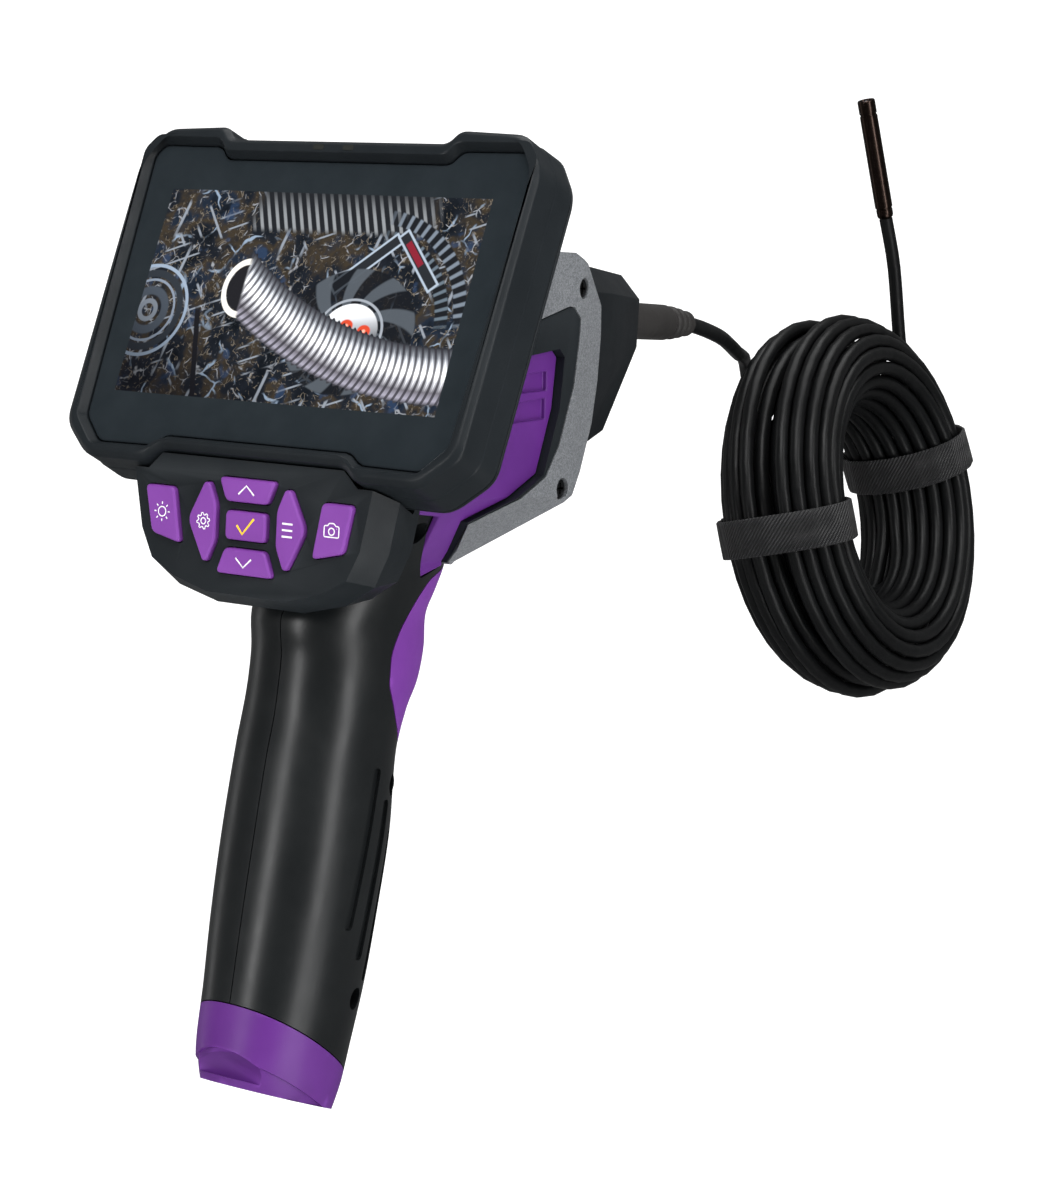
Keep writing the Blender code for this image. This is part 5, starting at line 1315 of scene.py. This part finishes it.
def board_finish():
    """Green circuit board with paler tracks and a few bright pads."""
    made, tree, shader = new_finish("circuit_board_green")
    space = own_space(tree)
    cells = add_node(tree, "ShaderNodeTexVoronoi", {"Vector": space, "Scale": 260.0}, distance="CHEBYCHEV",
                     feature="DISTANCE_TO_EDGE")
    tracks = Field(tree, cells.outputs["Distance"]).step(0.10, 0.04)
    pads = Field(tree, noise(tree, space, 500.0, 0.0)).step(0.66, 0.70)
    colour = laid_over(tree, (0.010, 0.075, 0.035), (0.020, 0.150, 0.070), tracks)
    tree.links.new(laid_over(tree, colour, (0.55, 0.50, 0.38), pads), shader.inputs["Base Color"])
    set_socket(shader, {"Roughness": 0.42})
    bumps(tree, shader, [(tracks.socket, 0.00004)])
    return made


BOARD = board_finish()
RUBBER_MAT = rubber("keypad_mat_rubber", (0.030, 0.030, 0.032), 0.6)
BATTERY_SLEEVE = plastic("battery_sleeve_blue", (0.012, 0.080, 0.220), (0.018, 0.105, 0.270), 0.36, shine=0.4)
INDICATOR = plastic("indicator_smoked", (0.010, 0.011, 0.010), (0.016, 0.017, 0.015), 0.24, 0.04, shine=0.3)
MODULE = metal("display_module_frame", (0.30, 0.31, 0.33), (0.45, 0.46, 0.48), 0.35)
for node, look in (("main_board", BOARD), ("keypad_board", BOARD), ("keypad_mat", RUBBER_MAT),
                   ("battery_cell", BATTERY_SLEEVE), ("battery_contact_top", BRIGHT_METAL),
                   ("battery_contact_bottom", BRIGHT_METAL), ("trigger_switch", NOSE_BLACK),
                   ("indicator_left", INDICATOR), ("indicator_right", INDICATOR), ("display_module", MODULE)):
    assign(node, look)

# %% Clear the cutting tools
for made in CUTTERS:
    bpy.data.objects.remove(made, do_unlink=True)
print("tools cleared:", len(CUTTERS))

# %% [markdown]

# %% [markdown]
# ## Floor and light
# The floor is a plain pale sweep that curves up behind the tool, so that no horizon shows. A large soft
# light stands over the left shoulder, a tall one to the right draws the long highlights down the grip and the
# cable, and a weak one from the front lifts the cowl's underside.

# %% Floor
def sweep_floor():
    data = bmesh.new()
    profile = [(-1.6, -0.42), (1.3, -0.42), (1.75, -0.32), (1.95, -0.05), (2.0, 0.4), (2.0, 2.6)]
    row = [data.verts.new((-3.0, y, z)) for y, z in profile]
    edges = [data.edges.new(pair) for pair in zip(row, row[1:])]
    grown = bmesh.ops.extrude_edge_only(data, edges=edges)
    moved = [item for item in grown["geom"] if isinstance(item, bmesh.types.BMVert)]
    bmesh.ops.translate(data, vec=(6.0, 0, 0), verts=moved)
    turn = Matrix.Rotation(math.radians(32), 4, "Z")
    bmesh.ops.transform(data, matrix=turn, verts=data.verts)
    mesh = bpy.data.meshes.new("studio_floor")
    data.to_mesh(mesh)
    data.free()
    floor = bpy.data.objects.new("studio_floor", mesh)
    bpy.context.scene.collection.objects.link(floor)
    smoother = floor.modifiers.new("Soft curve", "SUBSURF")
    smoother.levels = 2
    smoother.render_levels = 2
    mesh.shade_smooth()
    look, tree, shader = new_finish("pale_floor")
    set_socket(shader, {"Base Color": (0.5, 0.5, 0.5, 1.0), "Roughness": 0.9, "Emission Color": (1, 1, 1, 1),
                        "Emission Strength": 0.86, "Specular IOR Level": 0.1})
    mesh.materials.append(look)
    floor.visible_glossy = False


sweep_floor()


# %% Lights
def area_light(name, place, target, size, power, shape="RECTANGLE"):
    lamp = bpy.data.lights.new(name, "AREA")
    lamp.shape = shape
    lamp.size, lamp.size_y = size
    lamp.energy = power
    holder = bpy.data.objects.new(name, lamp)
    bpy.context.scene.collection.objects.link(holder)
    holder.location = place
    holder.rotation_euler = (Vector(target) - Vector(place)).to_track_quat("-Z", "Y").to_euler()


area_light("key_soft", (0.35, -0.75, 1.15), (0, 0, 0.08), (0.8, 0.8), 15)
area_light("back_strip", (-0.22, -1.25, 0.08), (0, 0, 0.02), (0.11, 1.0), 7)
area_light("right_strip", (1.05, -0.15, 0.35), (0, 0.1, 0.05), (0.25, 1.2), 8)
area_light("left_strip", (-0.85, -0.10, 0.15), (0, 0, 0.05), (0.16, 1.0), 0.8)
area_light("top_soft", (0.1, 0.35, 1.25), (0, 0.15, 0.05), (1.2, 1.0), 12)
area_light("low_right", (0.70, -0.05, -0.33), (0, 0.05, 0.10), (0.5, 0.3), 2)
world = bpy.data.worlds.new("studio_world")
world.use_nodes = True
set_socket(world.node_tree.nodes["Background"], {"Color": (1.0, 1.0, 1.0, 1.0), "Strength": 0.14})
bpy.context.scene.world = world
bpy.context.scene.view_settings.view_transform = "Standard"

# %% [markdown]
# The visual model has to stay inside the CAD model's box.
